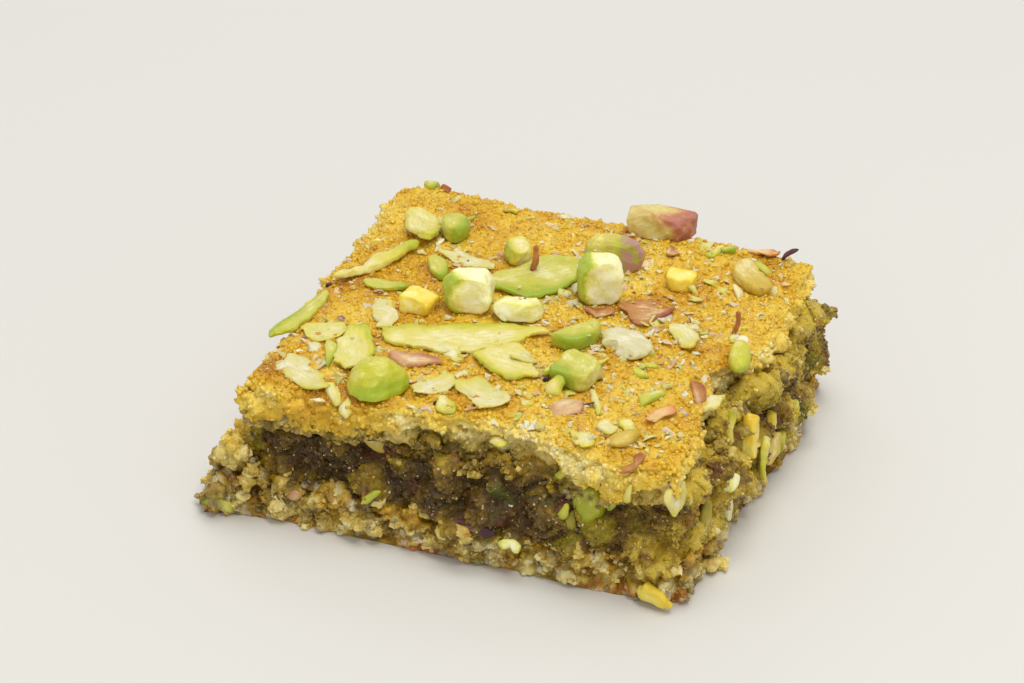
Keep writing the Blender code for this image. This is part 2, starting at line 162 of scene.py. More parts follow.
# Each CAD nut: its finish, the side where its green skin shows (a heading in degrees), how green
# that side is, its thickness as a share of the CAD solid's, how ragged its outline is, and how
# far its ends curl up in millimetres.
NutLook = namedtuple("NutLook", "finish side green thin ragged curl")
NUT_LOOKS = {node: NutLook(*row) for node, row in {
    "nut_long_slice": ("pale", 115, 0.75, 0.45, 1.3, 0.3),
    "nut_upper_slice": ("pale", -115, 0.6, 0.45, 1.2, 0.2),
    "nut_round_end": ("vivid", -40, 1.0, 0.82, 0.6, 0.0),
    "nut_left_block": ("cream", 230, 0.5, 1.0, 0.9, 0.0),
    "nut_low_wedge": ("cream", 120, 0.5, 0.9, 1.0, 0.0),
    "nut_large_slice": ("green", -60, 0.8, 0.45, 1.0, 0.4),
    "nut_tall_block": ("cream", 185, 1.2, 1.0, 0.7, 0.0),
    "nut_skinned_chunk": ("skinned", 10, 1.0, 1.0, 0.6, 0.0),
    "nut_small_wedge": ("pale", 200, 0.6, 1.0, 0.9, 0.0),
    "nut_pink_chunk": ("pink", 90, 0.7, 0.4, 1.6, 0.3),
    "nut_front_flake": ("white", 90, 0.2, 0.45, 1.8, 0.3),
    "nut_curved_flake": ("white", 120, 0.4, 0.45, 1.6, 0.4),
    "nut_green_half": ("green", -60, 1.1, 1.0, 0.3, 0.0),
    "nut_white_lump": ("grey", 0, 0.0, 0.42, 2.6, 0.2),
    "nut_square_chunk": ("green", 215, 0.8, 0.9, 0.9, 0.0),
    "nut_brown_skin": ("peel", 0, 0.5, 0.4, 1.0, 0.4),
    "nut_yellow_cube": ("lemon", 0, 0.3, 0.9, 0.9, 0.0),
    "nut_back_chunk": ("rosy", 0, 1.5, 1.0, 1.3, 0.0),
    "nut_back_half": ("yellow", 10, 0.5, 0.9, 0.9, 0.0),
    "nut_edge_seed": ("vivid", 0, 0.5, 1.0, 0.2, 0.0),
    "nut_right_flake": ("white", 0, 0.3, 0.6, 1.5, 0.3),
    "nut_left_flakes": ("white", 180, 0.1, 0.6, 1.6, 0.2),
    "nut_green_sliver": ("green", 0, 0.7, 0.9, 0.6, 0.2),
    "nut_yellow_chunk": ("lemon", 0, 0.2, 1.0, 0.9, 0.0),
    "nut_white_flake": ("white", 0, 0.0, 0.52, 2.2, 0.0),
    "nut_small_sliver": ("green", 0, 0.5, 0.6, 1.0, 0.2),
    "nut_standing_slice": ("pale", 0, 0.4, 0.75, 1.2, 0.2),
    "nut_left_chunk": ("green", 0, 0.6, 1.0, 0.8, 0.0),
    "nut_left_strip": ("pale", 0, 0.7, 0.9, 1.2, 0.3),
    "nut_edge_sliver": ("green", 180, 0.6, 0.6, 1.0, 0.3),
    "nut_corner_flake": ("white", -30, 0.35, 0.52, 2.0, 0.3),
    "nut_left_flake": ("pale", 90, 0.2, 0.52, 1.2, 0.3),
    "nut_folded_slice": ("pale", 50, 0.7, 0.52, 1.4, 0.4),
    "nut_right_chip": ("pale", 0, 0.2, 0.52, 1.8, 0.2),
}.items()}

NUT_PIECES = {node: node.replace("nut_", "pistachio_") for node in NUT_LOOKS}

# How a small piece is cut from a kernel: its half axes as shares of its length, width and
# thickness, the share of its height where it is sliced flat above and below, how many knife cuts
# trim its outline, how far its ends curl as a share of its length, and how ragged it is.
Cut = namedtuple("Cut", "axes level trims curl ragged")
CUTS = {
    "flake": Cut((0.56, 0.56, 1.6), 0.3, 4, 0.06, 1.2),
    "skin": Cut((0.56, 0.56, 1.7), 0.2, 4, 0.16, 1.5),
    "sliver": Cut((0.5, 0.55, 0.8), 0.55, 1, 0.1, 0.4),
    "chunk": Cut((0.62, 0.62, 0.62), 0.75, 5, 0.0, 0.7),
    "kernel": Cut((0.5, 0.5, 0.5), 1.0, 0, 0.0, 0.4),
}

# A small piece lying on the top: finish, cut, (length, width, thickness), (x, y), heading.
Bit = namedtuple("Bit", "finish cut size at heading")
TOP_BITS = [Bit(*row) for row in (
    ("white", "flake", (3.0, 2.2, 0.4), (4.4, -8.4), 20),
    ("pale", "flake", (5.2, 1.6, 0.4), (-2.9, -9.8), -22),
    ("pale", "flake", (3.1, 2.0, 0.4), (0.0, -19.1), 8),
    ("pale", "chunk", (3.0, 1.6, 0.9), (9.5, -12.6), 70),
    ("white", "flake", (1.8, 1.1, 0.5), (7.6, -15.7), 20),
    ("green", "chunk", (1.7, 1.1, 0.9), (15.8, 21.5), 30),
    ("peel", "skin", (3.4, 2.3, 0.4), (7.7, 3.5), 25),
    ("green", "sliver", (5.4, 1.2, 0.8), (-15.1, -14.0), -68),
    ("white", "flake", (2.6, 1.4, 0.5), (-9.7, -21.7), -60),
    ("pale", "flake", (3.2, 1.9, 0.5), (-11.2, -21.0), -40),
    ("white", "flake", (2.4, 1.5, 0.5), (16.7, -16.9), -8),
    ("pale", "flake", (2.8, 1.1, 0.5), (18.7, -16.4), -12),
    ("yellow", "kernel", (3.9, 2.0, 1.6), (19.4, -18.9), 62),
    ("peel", "skin", (3.4, 1.1, 0.4), (21.0, -21.3), 60),
    ("pink", "skin", (4.2, 2.7, 0.5), (11.7, -15.2), 70),
    ("white", "sliver", (4.6, 0.8, 0.5), (14.4, -13.7), -60),
    ("plum", "skin", (1.6, 0.9, 0.4), (13.6, -14.2), 10),
    ("green", "sliver", (4.5, 1.5, 0.8), (18.9, -10.5), 62),
    ("vivid", "sliver", (2.4, 1.0, 0.7), (16.3, -6.4), -20),
    ("vivid", "sliver", (2.0, 0.8, 0.7), (16.6, -4.9), 15),
    ("peach", "skin", (4.6, 1.7, 0.5), (20.9, -13.5), 55),
    ("peel", "skin", (4.8, 1.3, 0.5), (22.9, -7.0), -66),
    ("white", "flake", (4.2, 2.6, 0.6), (24.2, -7.6), 60),
    ("green", "chunk", (1.9, 1.4, 1.2), (-20.4, 23.6), 10),
    ("peel", "chunk", (1.5, 0.9, 1.1), (-18.5, 23.2), 50),
    ("plum", "chunk", (1.1, 0.8, 0.6), (-21.4, -1.5), 0),
    # Painted shade under the edge of the pale flake beside it.
    ("painted_shadow", "chunk", (0.9, 0.6, 0.5), (-0.9, -18.6), 70),
    ("pale", "flake", (2.3, 1.5, 0.5), (6.6, -19.8), 25),
    ("pale", "flake", (3.4, 1.4, 0.5), (14.6, 20.6), 70),
    ("white", "flake", (3.0, 1.2, 0.5), (13.2, 21.6), 50),
    ("pink", "skin", (3.2, 1.1, 0.4), (10.4, 19.2), -50),
    ("green", "sliver", (3.8, 1.1, 0.8), (20.9, 18.5), -20),
    ("vivid", "chunk", (1.6, 1.0, 0.8), (7.6, -10.2), 15),
    # Painted shade under the edge of the vivid chunk beside it.
    ("painted_shadow", "chunk", (0.8, 0.5, 0.5), (7.9, -11.0), 15),
    ("pale", "flake", (2.2, 1.3, 0.4), (-9.4, 20.6), 30),
    ("white", "flake", (2.0, 1.0, 0.4), (-7.0, 20.2), 5),
    ("green", "sliver", (2.6, 0.9, 0.6), (-13.2, 16.5), 40),
    ("peach", "skin", (5.0, 1.6, 0.5), (19.5, 22.6), -12),
    ("pale", "flake", (2.6, 1.2, 0.4), (14.0, 3.6), -30),
    ("white", "sliver", (2.8, 0.6, 0.4), (15.6, 11.2), -15),
    ("white", "sliver", (2.4, 0.6, 0.4), (16.4, 9.8), -20),
    ("pale", "sliver", (2.6, 0.7, 0.5), (11.6, -6.2), 35),
)]
# These stand on end instead: the last number is how steep they stand.
UPRIGHT_BITS = [Bit(*row) for row in (
    ("peel", "sliver", (3.2, 1.0, 0.6), (22.6, 5.4), 80),
    ("peel", "sliver", (3.4, 1.2, 0.7), (-1.6, 9.0), 80),
    ("plum", "sliver", (2.6, 0.7, 0.5), (22.6, 22.4), 35),
)]

# A piece that sticks out of a cut face: face, finish, cut, (length, width, thickness),
# (place along the face, height), angle on the face, how deep it is sunk.
Stuck = namedtuple("Stuck", "side finish cut size at angle sunk")
SIDE_BITS = [Stuck(*row) for row in (
    ("front", "yellow", "sliver", (3.3, 1.7, 1.0), (-7.3, 10.6), -38, 0.1),
    ("front", "green", "sliver", (3.2, 0.9, 0.7), (-6.4, 6.1), 42, 0.0),
    ("front", "plum", "skin", (5.6, 1.3, 0.7), (5.0, 5.2), -12, 0.1),
    ("front", "moss", "kernel", (5.2, 3.4, 3.2), (16.4, 9.2), 84, 0.35),
    ("front", "green", "sliver", (2.4, 0.9, 0.7), (14.4, 9.0), 65, 0.0),
    ("front", "olive", "sliver", (2.4, 1.2, 0.8), (15.0, 7.8), 75, 0.0),
    ("front", "green", "sliver", (2.8, 1.1, 0.8), (18.7, 10.4), 80, 0.0),
    ("front", "pale", "sliver", (3.0, 0.9, 0.6), (13.8, 12.2), 30, 0.0),
    ("front", "cream", "flake", (3.4, 1.2, 0.7), (9.2, 4.3), -10, 0.0),
    ("front", "pink", "chunk", (1.9, 1.6, 1.4), (-15.6, 3.6), 20, 0.2),
    ("front", "vivid", "chunk", (2.6, 1.6, 1.2), (-23.4, 1.2), 10, 0.4),
    ("front", "moss", "chunk", (2.0, 1.4, 1.2), (-24.8, 1.4), 30, 0.4),
    ("front", "lemon", "flake", (4.6, 2.0, 0.9), (24.0, 1.7), -24, -0.7),
    ("front", "pale", "sliver", (2.8, 0.9, 0.7), (20.9, 12.6), 75, 0.0),
    ("right", "pale", "sliver", (4.0, 1.3, 0.9), (-6.2, 12.4), 72, 0.0),
    ("right", "lemon", "chunk", (5.6, 2.2, 1.6), (-3.6, 9.6), 82, 0.1),
    ("right", "white", "sliver", (3.4, 0.9, 0.6), (-1.8, 11.6), -60, 0.0),
    ("right", "pale", "flake", (4.8, 2.8, 0.9), (-1.2, 6.2), 60, 0.0),
    ("right", "yellow", "flake", (4.4, 2.6, 1.1), (2.0, 5.2), 50, 0.0),
    ("right", "cream", "flake", (3.8, 2.4, 0.8), (0.4, 3.4), 20, 0.0),
    ("right", "lemon", "chunk", (2.6, 1.7, 1.2), (3.6, 7.4), 70, 0.1),
    ("right", "cream", "chunk", (2.2, 1.6, 1.2), (-10.6, 8.6), 40, 0.1),
    ("right", "vivid", "sliver", (3.0, 1.2, 0.8), (8.4, 6.2), 75, 0.0),
    ("right", "cream", "flake", (4.6, 2.4, 1.2), (-7.4, 4.2), 55, 0.1),
    ("right", "olive", "kernel", (4.8, 1.7, 1.4), (-15.4, 6.6), 62, 0.1),
    ("right", "green", "chunk", (2.4, 1.6, 1.2), (4.8, 4.4), 70, 0.1),
    ("right", "peel", "chunk", (3.4, 2.6, 1.8), (-16.4, 8.6), 40, 0.5),
    ("right", "yellow", "sliver", (2.6, 1.0, 0.8), (1.4, 2.2), 70, 0.0),
    ("right", "green", "sliver", (3.2, 1.0, 0.8), (20.2, 9.4), 86, 0.0),
    ("right", "white", "flake", (3.4, 3.0, 0.8), (-20.6, 12.4), 30, 0.1),
    ("right", "vivid", "sliver", (2.4, 1.0, 0.7), (-18.6, 11.0), -50, 0.0),
)]

# Tiny shreds on the top: the finishes they have, the commoner ones more often.
SHRED_FINISHES = (
    *("pale", "white", "yellow") * 8, *("green", "cream") * 4, "vivid", "vivid", "pink", "pink",
    "peach", "peach", "skinned", "rosy", "peel", "peel", "plum")

# The heap of crumbs at the front left, from its foot up: how many clusters each layer has.
HEAP = (52, 40, 28)
BARE_CLUSTERS = 70        # clusters on the filling that lies bare in the notch on the right
# A crumb of three clusters that has dropped beside the front right corner: (x, y), size.
DROPPED = (((27.2, -14.2), 2.2), ((28.1, -13.7), 1.5), ((26.7, -13.3), 1.4))

# Area lights: name, place in metres, size in metres, power in watts.
LIGHTS = (
    ("soft box above", (0.05, 0.06, 0.75), 0.42, 2.42),
    ("soft box behind left", (-0.45, 0.5, 0.5), 0.4, 0.5),
    ("soft box in front", (0.1, -0.62, 0.3), 0.5, 0.35),
    ("small lamp", (0.22, -0.18, 0.55), 0.11, 0.8),
)
LAMP_COLOUR = (1.0, 0.975, 0.93)
ROOM_COLOUR = (0.96, 0.97, 1.0, 1)
ROOM_LIGHT = 0.56
# The camera: its heading, its elevation and its roll in degrees, and where it looks.
CAMERA_ANGLES = (23.2, 30.9, -0.6)
CAMERA_TARGET = Vector((-3.85, 7.46, 8.0)) * MM
CAMERA_LENS = 105


class CrustSettings(bpy.types.PropertyGroup):
    """Sizes and colours of the two semolina crusts."""

    step: FloatProperty(
        name="Surface step", default=0.206 * MM, unit="LENGTH", precision=5,
        description="Distance between the points of a crust's surface")
    lump: FloatProperty(
        name="Crumb lump", default=2.2 * MM, unit="LENGTH", precision=4,
        description="Size of the lumps that a cut crust breaks into")
    grain: FloatProperty(
        name="Semolina grain", default=0.35 * MM, unit="LENGTH", precision=5,
        description="Length of one grain of semolina")
    grains: IntProperty(
        name="Grains on the top crust", default=14000, min=0,
        description="Number of loose grains on the top crust")
    swollen: IntProperty(
        name="Swollen grains", default=1300, min=0,
        description="Number of glassy grains on the cut side of the bottom crust")
    clusters: IntProperty(
        name="Crumb clusters", default=420, min=0,
        description="Number of small clusters of crumb on the cut faces")


class FillingSettings(bpy.types.PropertyGroup):
    """Sizes of the pistachio filling."""

    step: FloatProperty(
        name="Surface step", default=0.19 * MM, unit="LENGTH", precision=5,
        description="Distance between the points of the filling's surface")
    lump: FloatProperty(
        name="Nut lump", default=4.2 * MM, unit="LENGTH", precision=4,
        description="Size of the chopped nut lumps in the filling")
    grains: IntProperty(
        name="Grains", default=11000, min=0,
        description="Number of ground nut grains on the cut faces")


class NutSettings(bpy.types.PropertyGroup):
    """Sizes of the pistachio pieces."""

    step: FloatProperty(
        name="Surface step", default=0.125 * MM, unit="LENGTH", precision=5,
        description="Distance between the points of a nut piece's surface")
    small_step: FloatProperty(
        name="Small piece step", default=0.14 * MM, unit="LENGTH", precision=5,
        description="The same for the small pieces")
    shreds: IntProperty(
        name="Shreds", default=1100, min=0,
        description="Number of tiny nut shreds strewn on the top")


class StageSettings(bpy.types.PropertyGroup):
    """Floor, lights and camera."""

    floor: FloatVectorProperty(
        name="Floor", subtype="COLOR", size=4, default=(0.72, 0.706, 0.662, 1.0),
        description="Colour of the pale floor")
    light: FloatProperty(
        name="Light", default=1.0, min=0.0,
        description="Strength of the studio lights")
    distance: FloatProperty(
        name="Camera distance", default=326 * MM, unit="LENGTH",
        description="Distance of the camera from the point that it looks at")


def srgb(code):
    """Turn an sRGB hex code into the linear colour that a shader takes."""
    channels = [int(code[start:start + 2], 16) / 255 for start in (0, 2, 4)]
    linear = [value / 12.92 if value <= 0.04045 else ((value + 0.055) / 1.055) ** 2.4
              for value in channels]
    return (*linear, 1.0)


def add_node(tree, kind, settings=None, sockets=None):
    """Add a shader node with its settings, and with values or links on its sockets."""
    node = tree.nodes.new("ShaderNode" + kind)
    for name, value in (settings or {}).items():
        if name == "stops":
            while len(node.color_ramp.elements) < len(value):
                node.color_ramp.elements.new(0.5)
            for element, (place, code) in zip(node.color_ramp.elements, value):
                element.position = place
                element.color = srgb(code)
        else:
            setattr(node, name, value)
    for name, value in (sockets or {}).items():
        if isinstance(value, bpy.types.NodeSocket):
            tree.links.new(value, node.inputs[name])
        else:
            node.inputs[name].default_value = value
    return node


def new_material(name):
    """Start an empty node material and return it with its tree and its own coordinates."""
    material = bpy.data.materials.new(name)
    material.use_nodes = True
    tree = material.node_tree
    tree.nodes.clear()
    place = add_node(tree, "TexCoord").outputs["Object"]
    return material, tree, place


def add_math(tree, operation, *values):
    """Add a math node with its values in order, and give its output."""
    return add_node(tree, "Math", {"operation": operation}, dict(enumerate(values))).outputs[0]


def add_noise(tree, place, size, detail, roughness):
    """Add noise with swells about size millimetres apart, and give its output from 0 to 1."""
    return add_node(tree, "TexNoise", {}, {
        "Vector": place, "Scale": 1 / (size * MM), "Detail": detail,
        "Roughness": roughness}).outputs["Fac"]


def add_range(tree, value, low, high, start, end):
    """Add a map from the values low to high onto start to end, and give its output."""
    return add_node(tree, "MapRange", {}, {
        "Value": value, "From Min": low, "From Max": high, "To Min": start,
        "To Max": end}).outputs["Result"]


def add_ramp(tree, stops, value):
    """Add a colour ramp with (place, hex) stops, and give its colour."""
    return add_node(tree, "ValToRGB", {"stops": stops}, {"Fac": value}).outputs["Color"]


def add_mix(tree, share, first, second):
    """Add a mix of two colours, and give its colour."""
    return add_node(tree, "Mix", {"data_type": "RGBA"}, {
        "Factor": share, 6: first, 7: second}).outputs[2]


def add_bump(tree, height, depth):
    """Add dents about depth millimetres deep, and give the normal."""
    return add_node(tree, "Bump", {}, {
        "Height": height, "Strength": 0.8, "Distance": depth * MM}).outputs["Normal"]


def add_surface(tree, **sockets):
    """Add the shader, its sockets named with underscores for spaces, and the output node."""
    named = {name.replace("_", " "): value for name, value in sockets.items()}
    shader = add_node(tree, "BsdfPrincipled", {}, named)
    add_node(tree, "OutputMaterial", {}, {"Surface": shader.outputs["BSDF"]})


def marks_of(tree, names):
    """Add a node for each mark on the points of a mesh, and give their outputs."""
    return [add_node(tree, "Attribute", {"attribute_name": name}).outputs["Fac"]
            for name in names]


def crumb_material(name):
    """Baked semolina dough or ground nut paste: grains stuck together by butter and syrup.

    Each grain has its own tone. Soaked places are smoother and shine, dry crumb is dull.
    Where the share is 1 the colours come from the other stops, read by kind.
    """
    crumb = CRUMBS[name]
    material, tree, place = new_material(name)
    tone, soak, share, kind = marks_of(tree, MARKS)
    cells = add_node(tree, "TexVoronoi", {}, {
        "Vector": place, "Scale": 1 / (crumb.grain * MM), "Randomness": 1.0})
    fine = add_noise(tree, place, 0.35 * crumb.grain, 3.0, 0.6)
    blotch = add_noise(tree, place, 2.6, 4.0, 0.6)
    per_grain = add_math(tree, "MULTIPLY_ADD", cells.outputs["Color"], 0.3, -0.15)
    per_blotch = add_math(tree, "MULTIPLY_ADD", blotch, 0.5, per_grain)
    uneven = add_math(tree, "MULTIPLY_ADD", fine, 0.2, per_blotch)
    centred = add_math(tree, "SUBTRACT", uneven, 0.35)
    colour = add_mix(
        tree, share,
        add_ramp(tree, crumb.stops, add_math(tree, "ADD", tone, centred)),
        add_ramp(tree, crumb.others, add_math(tree, "MULTIPLY_ADD", centred, 0.8, kind)))
    for number, (code, size, start, strength) in enumerate(crumb.tints, start=1):
        patch = add_node(tree, "TexNoise", {"noise_dimensions": "4D"}, {
            "Vector": place, "W": 3.7 * number, "Scale": 1 / (size * MM), "Detail": 3.0,
            "Roughness": 0.6}).outputs["Fac"]
        tinted = add_range(tree, patch, start, start + 0.1, 0.0, strength)
        colour = add_mix(tree, tinted, colour, srgb(code))
    shine = add_math(tree, "MULTIPLY_ADD", fine, 0.16, soak)
    grainy = add_math(tree, "MULTIPLY_ADD", cells.outputs["Distance"], -0.9, fine)
    add_surface(
        tree, Base_Color=colour, Roughness=add_range(tree, shine, 0.0, 1.1, crumb.dry, crumb.wet),
        Normal=add_bump(tree, grainy, crumb.dent), IOR=1.47, Subsurface_Weight=crumb.soft,
        Subsurface_Radius=(1.0, 0.75, 0.4), Subsurface_Scale=(0.15 + crumb.soft) * MM)
    return material


def paler(code, share):
    """Mix a hex colour with the white of a fresh cut by a share from 0 to 1."""
    mixed = [round(int(code[start:start + 2], 16) * (1 - share)
                   + int(FRESH_CUT[start:start + 2], 16) * share) for start in (0, 2, 4)]
    return "".join(f"{value:02X}" for value in mixed)


def nut_material(name, finish):
    """Pistachio: waxy, a little see-through, pale inside and green towards the skin.

    Streaks run along the kernel. The papery coat stays on the skin in patches.
    """
    material, tree, place = new_material(name)
    rim, tone = marks_of(tree, ("rim", "tone"))
    lie = add_node(tree, "Attribute", {"attribute_name": "lie"}).outputs["Vector"]
    streak = add_noise(tree, lie, 1 / MM, 4.0, 0.6)    # lie is in millimetres already
    cloud = add_noise(tree, place, 1.5, 3.0, 0.55)
    pores = add_noise(tree, place, 0.16, 2.0, 0.5)
    depth = add_math(tree, "MULTIPLY_ADD", cloud, 0.9, rim)
    streaked = add_math(tree, "MULTIPLY_ADD", streak, 0.9, depth)
    centred = add_math(tree, "SUBTRACT", add_math(tree, "ADD", streaked, tone), 0.75)
    colour = add_ramp(tree, (
        (0.0, paler(finish.middle, 0.5)), (0.22, finish.middle), (0.6, finish.rim),
        (1.0, finish.skin)), centred)
    edge = 0.62 - 0.5 * finish.coat
    coat = add_math(tree, "MULTIPLY", add_range(tree, cloud, edge, edge + 0.14, 0.0, 1.0), rim)
    coated = add_mix(tree, add_math(tree, "MULTIPLY", coat, 0.85), colour, srgb(finish.peel))
    height = add_math(tree, "MULTIPLY_ADD", pores, 0.4, streak)
    roughness = add_range(
        tree, streak, 0.3, 0.7, finish.roughness - 0.08, finish.roughness + 0.12)
    add_surface(
        tree, Base_Color=coated, Roughness=roughness, Normal=add_bump(tree, height, 0.11),
        IOR=1.47, Subsurface_Weight=0.5, Subsurface_Radius=(1.0, 0.9, 0.35),
        Subsurface_Scale=1.0 * MM)
    return material


def sugar_and_glint_material():
    """Sugar crystals and dried syrup: clear, with a faint warm cast, and glinting. Their pale,
    nearly white colour is partly painted glints.
    """
    material, tree, place = new_material("sugar crystals with painted glints")
    cloud = add_noise(tree, place, 0.4, 2.0, 0.5)
    add_surface(
        tree, Base_Color=add_ramp(tree, SUGAR_AND_GLINT_STOPS, cloud),
        Roughness=add_range(tree, cloud, 0.3, 0.7, 0.16, 0.05), IOR=1.54,
        Transmission_Weight=0.25)
    return material


def loose_look(look):
    """Give the look of single grains: too small to let light through or to have dents."""
    name = f"loose {look.name}"
    if name in bpy.data.materials:
        return bpy.data.materials[name]
    loose = look.copy()
    loose.name = name
    nodes = loose.node_tree.nodes
    nodes["Principled BSDF"].inputs["Subsurface Weight"].default_value = 0.0
    nodes.remove(nodes["Bump"])
    return loose


def nut_materials():
    """Give the nut materials in the order of FINISHES, made once."""
    return [bpy.data.materials.get(f"pistachio {key}") or nut_material(f"pistachio {key}", finish)
            for key, finish in FINISHES.items()]


def smooth(low, high, value):
    """Rise softly from 0 at low to 1 at high."""
    share = min(1.0, max(0.0, (value - low) / (high - low)))
    return share * share * (3 - 2 * share)


def waves(co, size, seed):
    """Smooth noise from -1 to 1, with swells about size millimetres apart."""
    return noise.noise(co / size + Vector((seed * 7.3, seed * 3.1, seed * 5.7)))


def nearest_lump(co, size, seed):
    """Find the nearest middle of lumps size millimetres apart: how far it is, and where."""
    distances, points = noise.voronoi(co / size + Vector((seed * 2.9, seed * 6.1, seed * 4.3)))
    return distances[0], points[0]


def domes(co, size, seed):
    """Round lumps about size millimetres apart: 1 on a lump, 0 between lumps."""
    return max(0.0, 1.0 - (nearest_lump(co, size, seed)[0] / 0.72) ** 2)


def chance(co, size, seed):
    """Give each lump of the same size and seed its own number from 0 to 1."""
    return noise.cell(nearest_lump(co, size, seed)[1] * 9.7)


def table_value(table, place):
    """Read a table of (place, value) rows, straight between the rows."""
    if place <= table[0][0]:
        return table[0][1]
    for (start, low), (end, high) in zip(table, table[1:]):
        if place <= end:
            return low + (high - low) * (place - start) / (end - start)
    return table[-1][1]


def scale(bm, factor):
    """Scale a mesh about the origin, as between metres and millimetres."""
    bmesh.ops.transform(bm, matrix=Matrix.Scale(factor, 4), verts=bm.verts[:])


def soften(bm, factor, times=1):
    """Smooth a surface a number of times."""
    for _ in range(times):
        bmesh.ops.smooth_vert(bm, verts=bm.verts[:], factor=factor, use_axis_x=True,
                              use_axis_y=True, use_axis_z=True)
    bm.normal_update()


def cad_copy(node):
    """Copy a CAD node's mesh in millimetres, with its loose triangles merged."""
    bm = bmesh.new()
    bm.from_mesh(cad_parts[node].data)
    scale(bm, 1 / MM)
    bmesh.ops.remove_doubles(bm, verts=bm.verts[:], dist=MERGE)
    return bm


def remeshed(bm, step):
    """Divide a closed surface evenly, step millimetres between its points."""
    mesh = bpy.data.meshes.new("even surface")
    bm.to_mesh(mesh)
    bm.free()
    item = bpy.data.objects.new("even surface", mesh)
    bpy.context.scene.collection.objects.link(item)
    remesh = item.modifiers.new("Remesh", "REMESH")
    remesh.mode = "VOXEL"
    remesh.voxel_size = step
    remesh.adaptivity = 0.0
    result = bmesh.new()
    evaluated = item.evaluated_get(bpy.context.evaluated_depsgraph_get())
    result.from_mesh(evaluated.to_mesh())
    evaluated.to_mesh_clear()
    bpy.data.objects.remove(item)
    bpy.data.meshes.remove(mesh)
    soften(result, 0.3)
    return result


def cap_hidden(bm, node, facing, margin):
    """Replace the fine surface where two layers press on one another, which nobody sees.

    Only the ring within margin millimetres of the cut faces stays fine.
    """
    low, high = (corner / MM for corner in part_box(node))
    middle = (low + high) / 2
    inner = (high - low) / 2 - Vector((margin, margin, 0.0))
    hidden = []
    for face in bm.faces:
        offset = face.calc_center_median() - middle
        inside = abs(offset.x) < inner.x and abs(offset.y) < inner.y
        if inside and face.normal.z * facing > 0.7:
            hidden.append(face)
    bmesh.ops.delete(bm, geom=hidden, context="FACES")
    rim = [edge for edge in bm.edges if edge.is_boundary]
    bmesh.ops.holes_fill(bm, edges=rim, sides=0)
    bm.normal_update()


def add_piece(name, bm, materials, nodes=()):
    """Write a mesh, in millimetres, as a finished piece in metres that rides on the frame."""
    scale(bm, MM)
    mesh = bpy.data.meshes.new(name)
    bm.to_mesh(mesh)
    bm.free()
    mesh.shade_smooth()
    for material in materials:
        mesh.materials.append(material)
    item = bpy.data.objects.new(name, mesh)
    bpy.context.scene.collection.objects.link(item)
    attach(item, "root")
    if nodes:
        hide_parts(*nodes)
    return item


def join(target, bm):
    """Add a mesh to a larger one."""
    mesh = bpy.data.meshes.new("part")
    bm.to_mesh(mesh)
    bm.free()
    target.from_mesh(mesh)
    bpy.data.meshes.remove(mesh)


def tree_of(*names, extra=None):
    """Make a search tree, in millimetres, of finished pieces and a mesh still in the making."""
    bm = bmesh.new()
    for name in names:
        bm.from_mesh(bpy.data.objects[name].data)
    scale(bm, 1 / MM)
    if extra:
        join(bm, extra.copy())
    found = BVHTree.FromBMesh(bm)
    bm.free()
    return found


def tree_of_points(points):
    """Make a search tree of points."""
    found = KDTree(len(points))
    for index, point in enumerate(points):
        found.insert(point, index)
    found.balance()
    return found


def nut_points():
    """Make a search tree of the points of all CAD nuts, in millimetres."""
    return tree_of_points([
        vert.co / MM for name in NUT_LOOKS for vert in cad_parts[name].data.vertices])


def axes_matrix(axes, origin):
    """Make the matrix that turns the X, Y and Z axes to three directions, and moves to a place."""
    matrix = Matrix(axes).transposed().to_4x4()
    matrix.translation = origin
    return matrix


def random_turn(rng):
    """Turn by a random angle about a random axis."""
    return Matrix.Rotation(rng.uniform(0, math.tau), 4, rng.choice("XYZ"))


def gold_edge(co, normal):
    """Height at which the golden skin ends on a cut face."""
    if abs(normal.y) > abs(normal.x):
        if normal.y < 0:
            return table_value(GOLD_FRONT, co.x)
    elif normal.x > 0:
        return table_value(GOLD_RIGHT, co.y)
    return GOLD_OTHER + 1.2 * waves(Vector((co.x, co.y, 0)), 5.0, 3)


def overlap(bm, low, high, down, up, seed):
    """Let a layer reach unevenly past its seams, so that neighbours grip one another."""
    for vert in bm.verts:
        share = (vert.co.z - low) / (high - low)
        ground = Vector((vert.co.x, vert.co.y, 0.0))
        uneven = 0.5 + 0.9 * waves(ground, 3.6, seed) + 0.5 * waves(ground, 1.4, seed + 1)
        vert.co.z += up * uneven * smooth(0.5, 1.0, share) - down * uneven * smooth(0.5, 0.0, share)
    bm.normal_update()


def marked(bm):
    """Give a mesh its four marks, each a number at every point."""
    return [bm.verts.layers.float.new(mark) for mark in MARKS]


def shift(bm, moves):
    """Move every point of a mesh, then bring its normals up to date."""
    for vert, move in zip(bm.verts, moves):
        vert.co += move
    bm.normal_update()


def crumble(bm, rule):
    """Move and mark every point of a mesh: rule(place, normal) gives its move and its marks."""
    layers = marked(bm)
    moves = []
    for vert in bm.verts:
        move, *values = rule(vert.co, vert.normal)
        for layer, value in zip(layers, values):
            vert[layer] = value
        moves.append(move)
    shift(bm, moves)


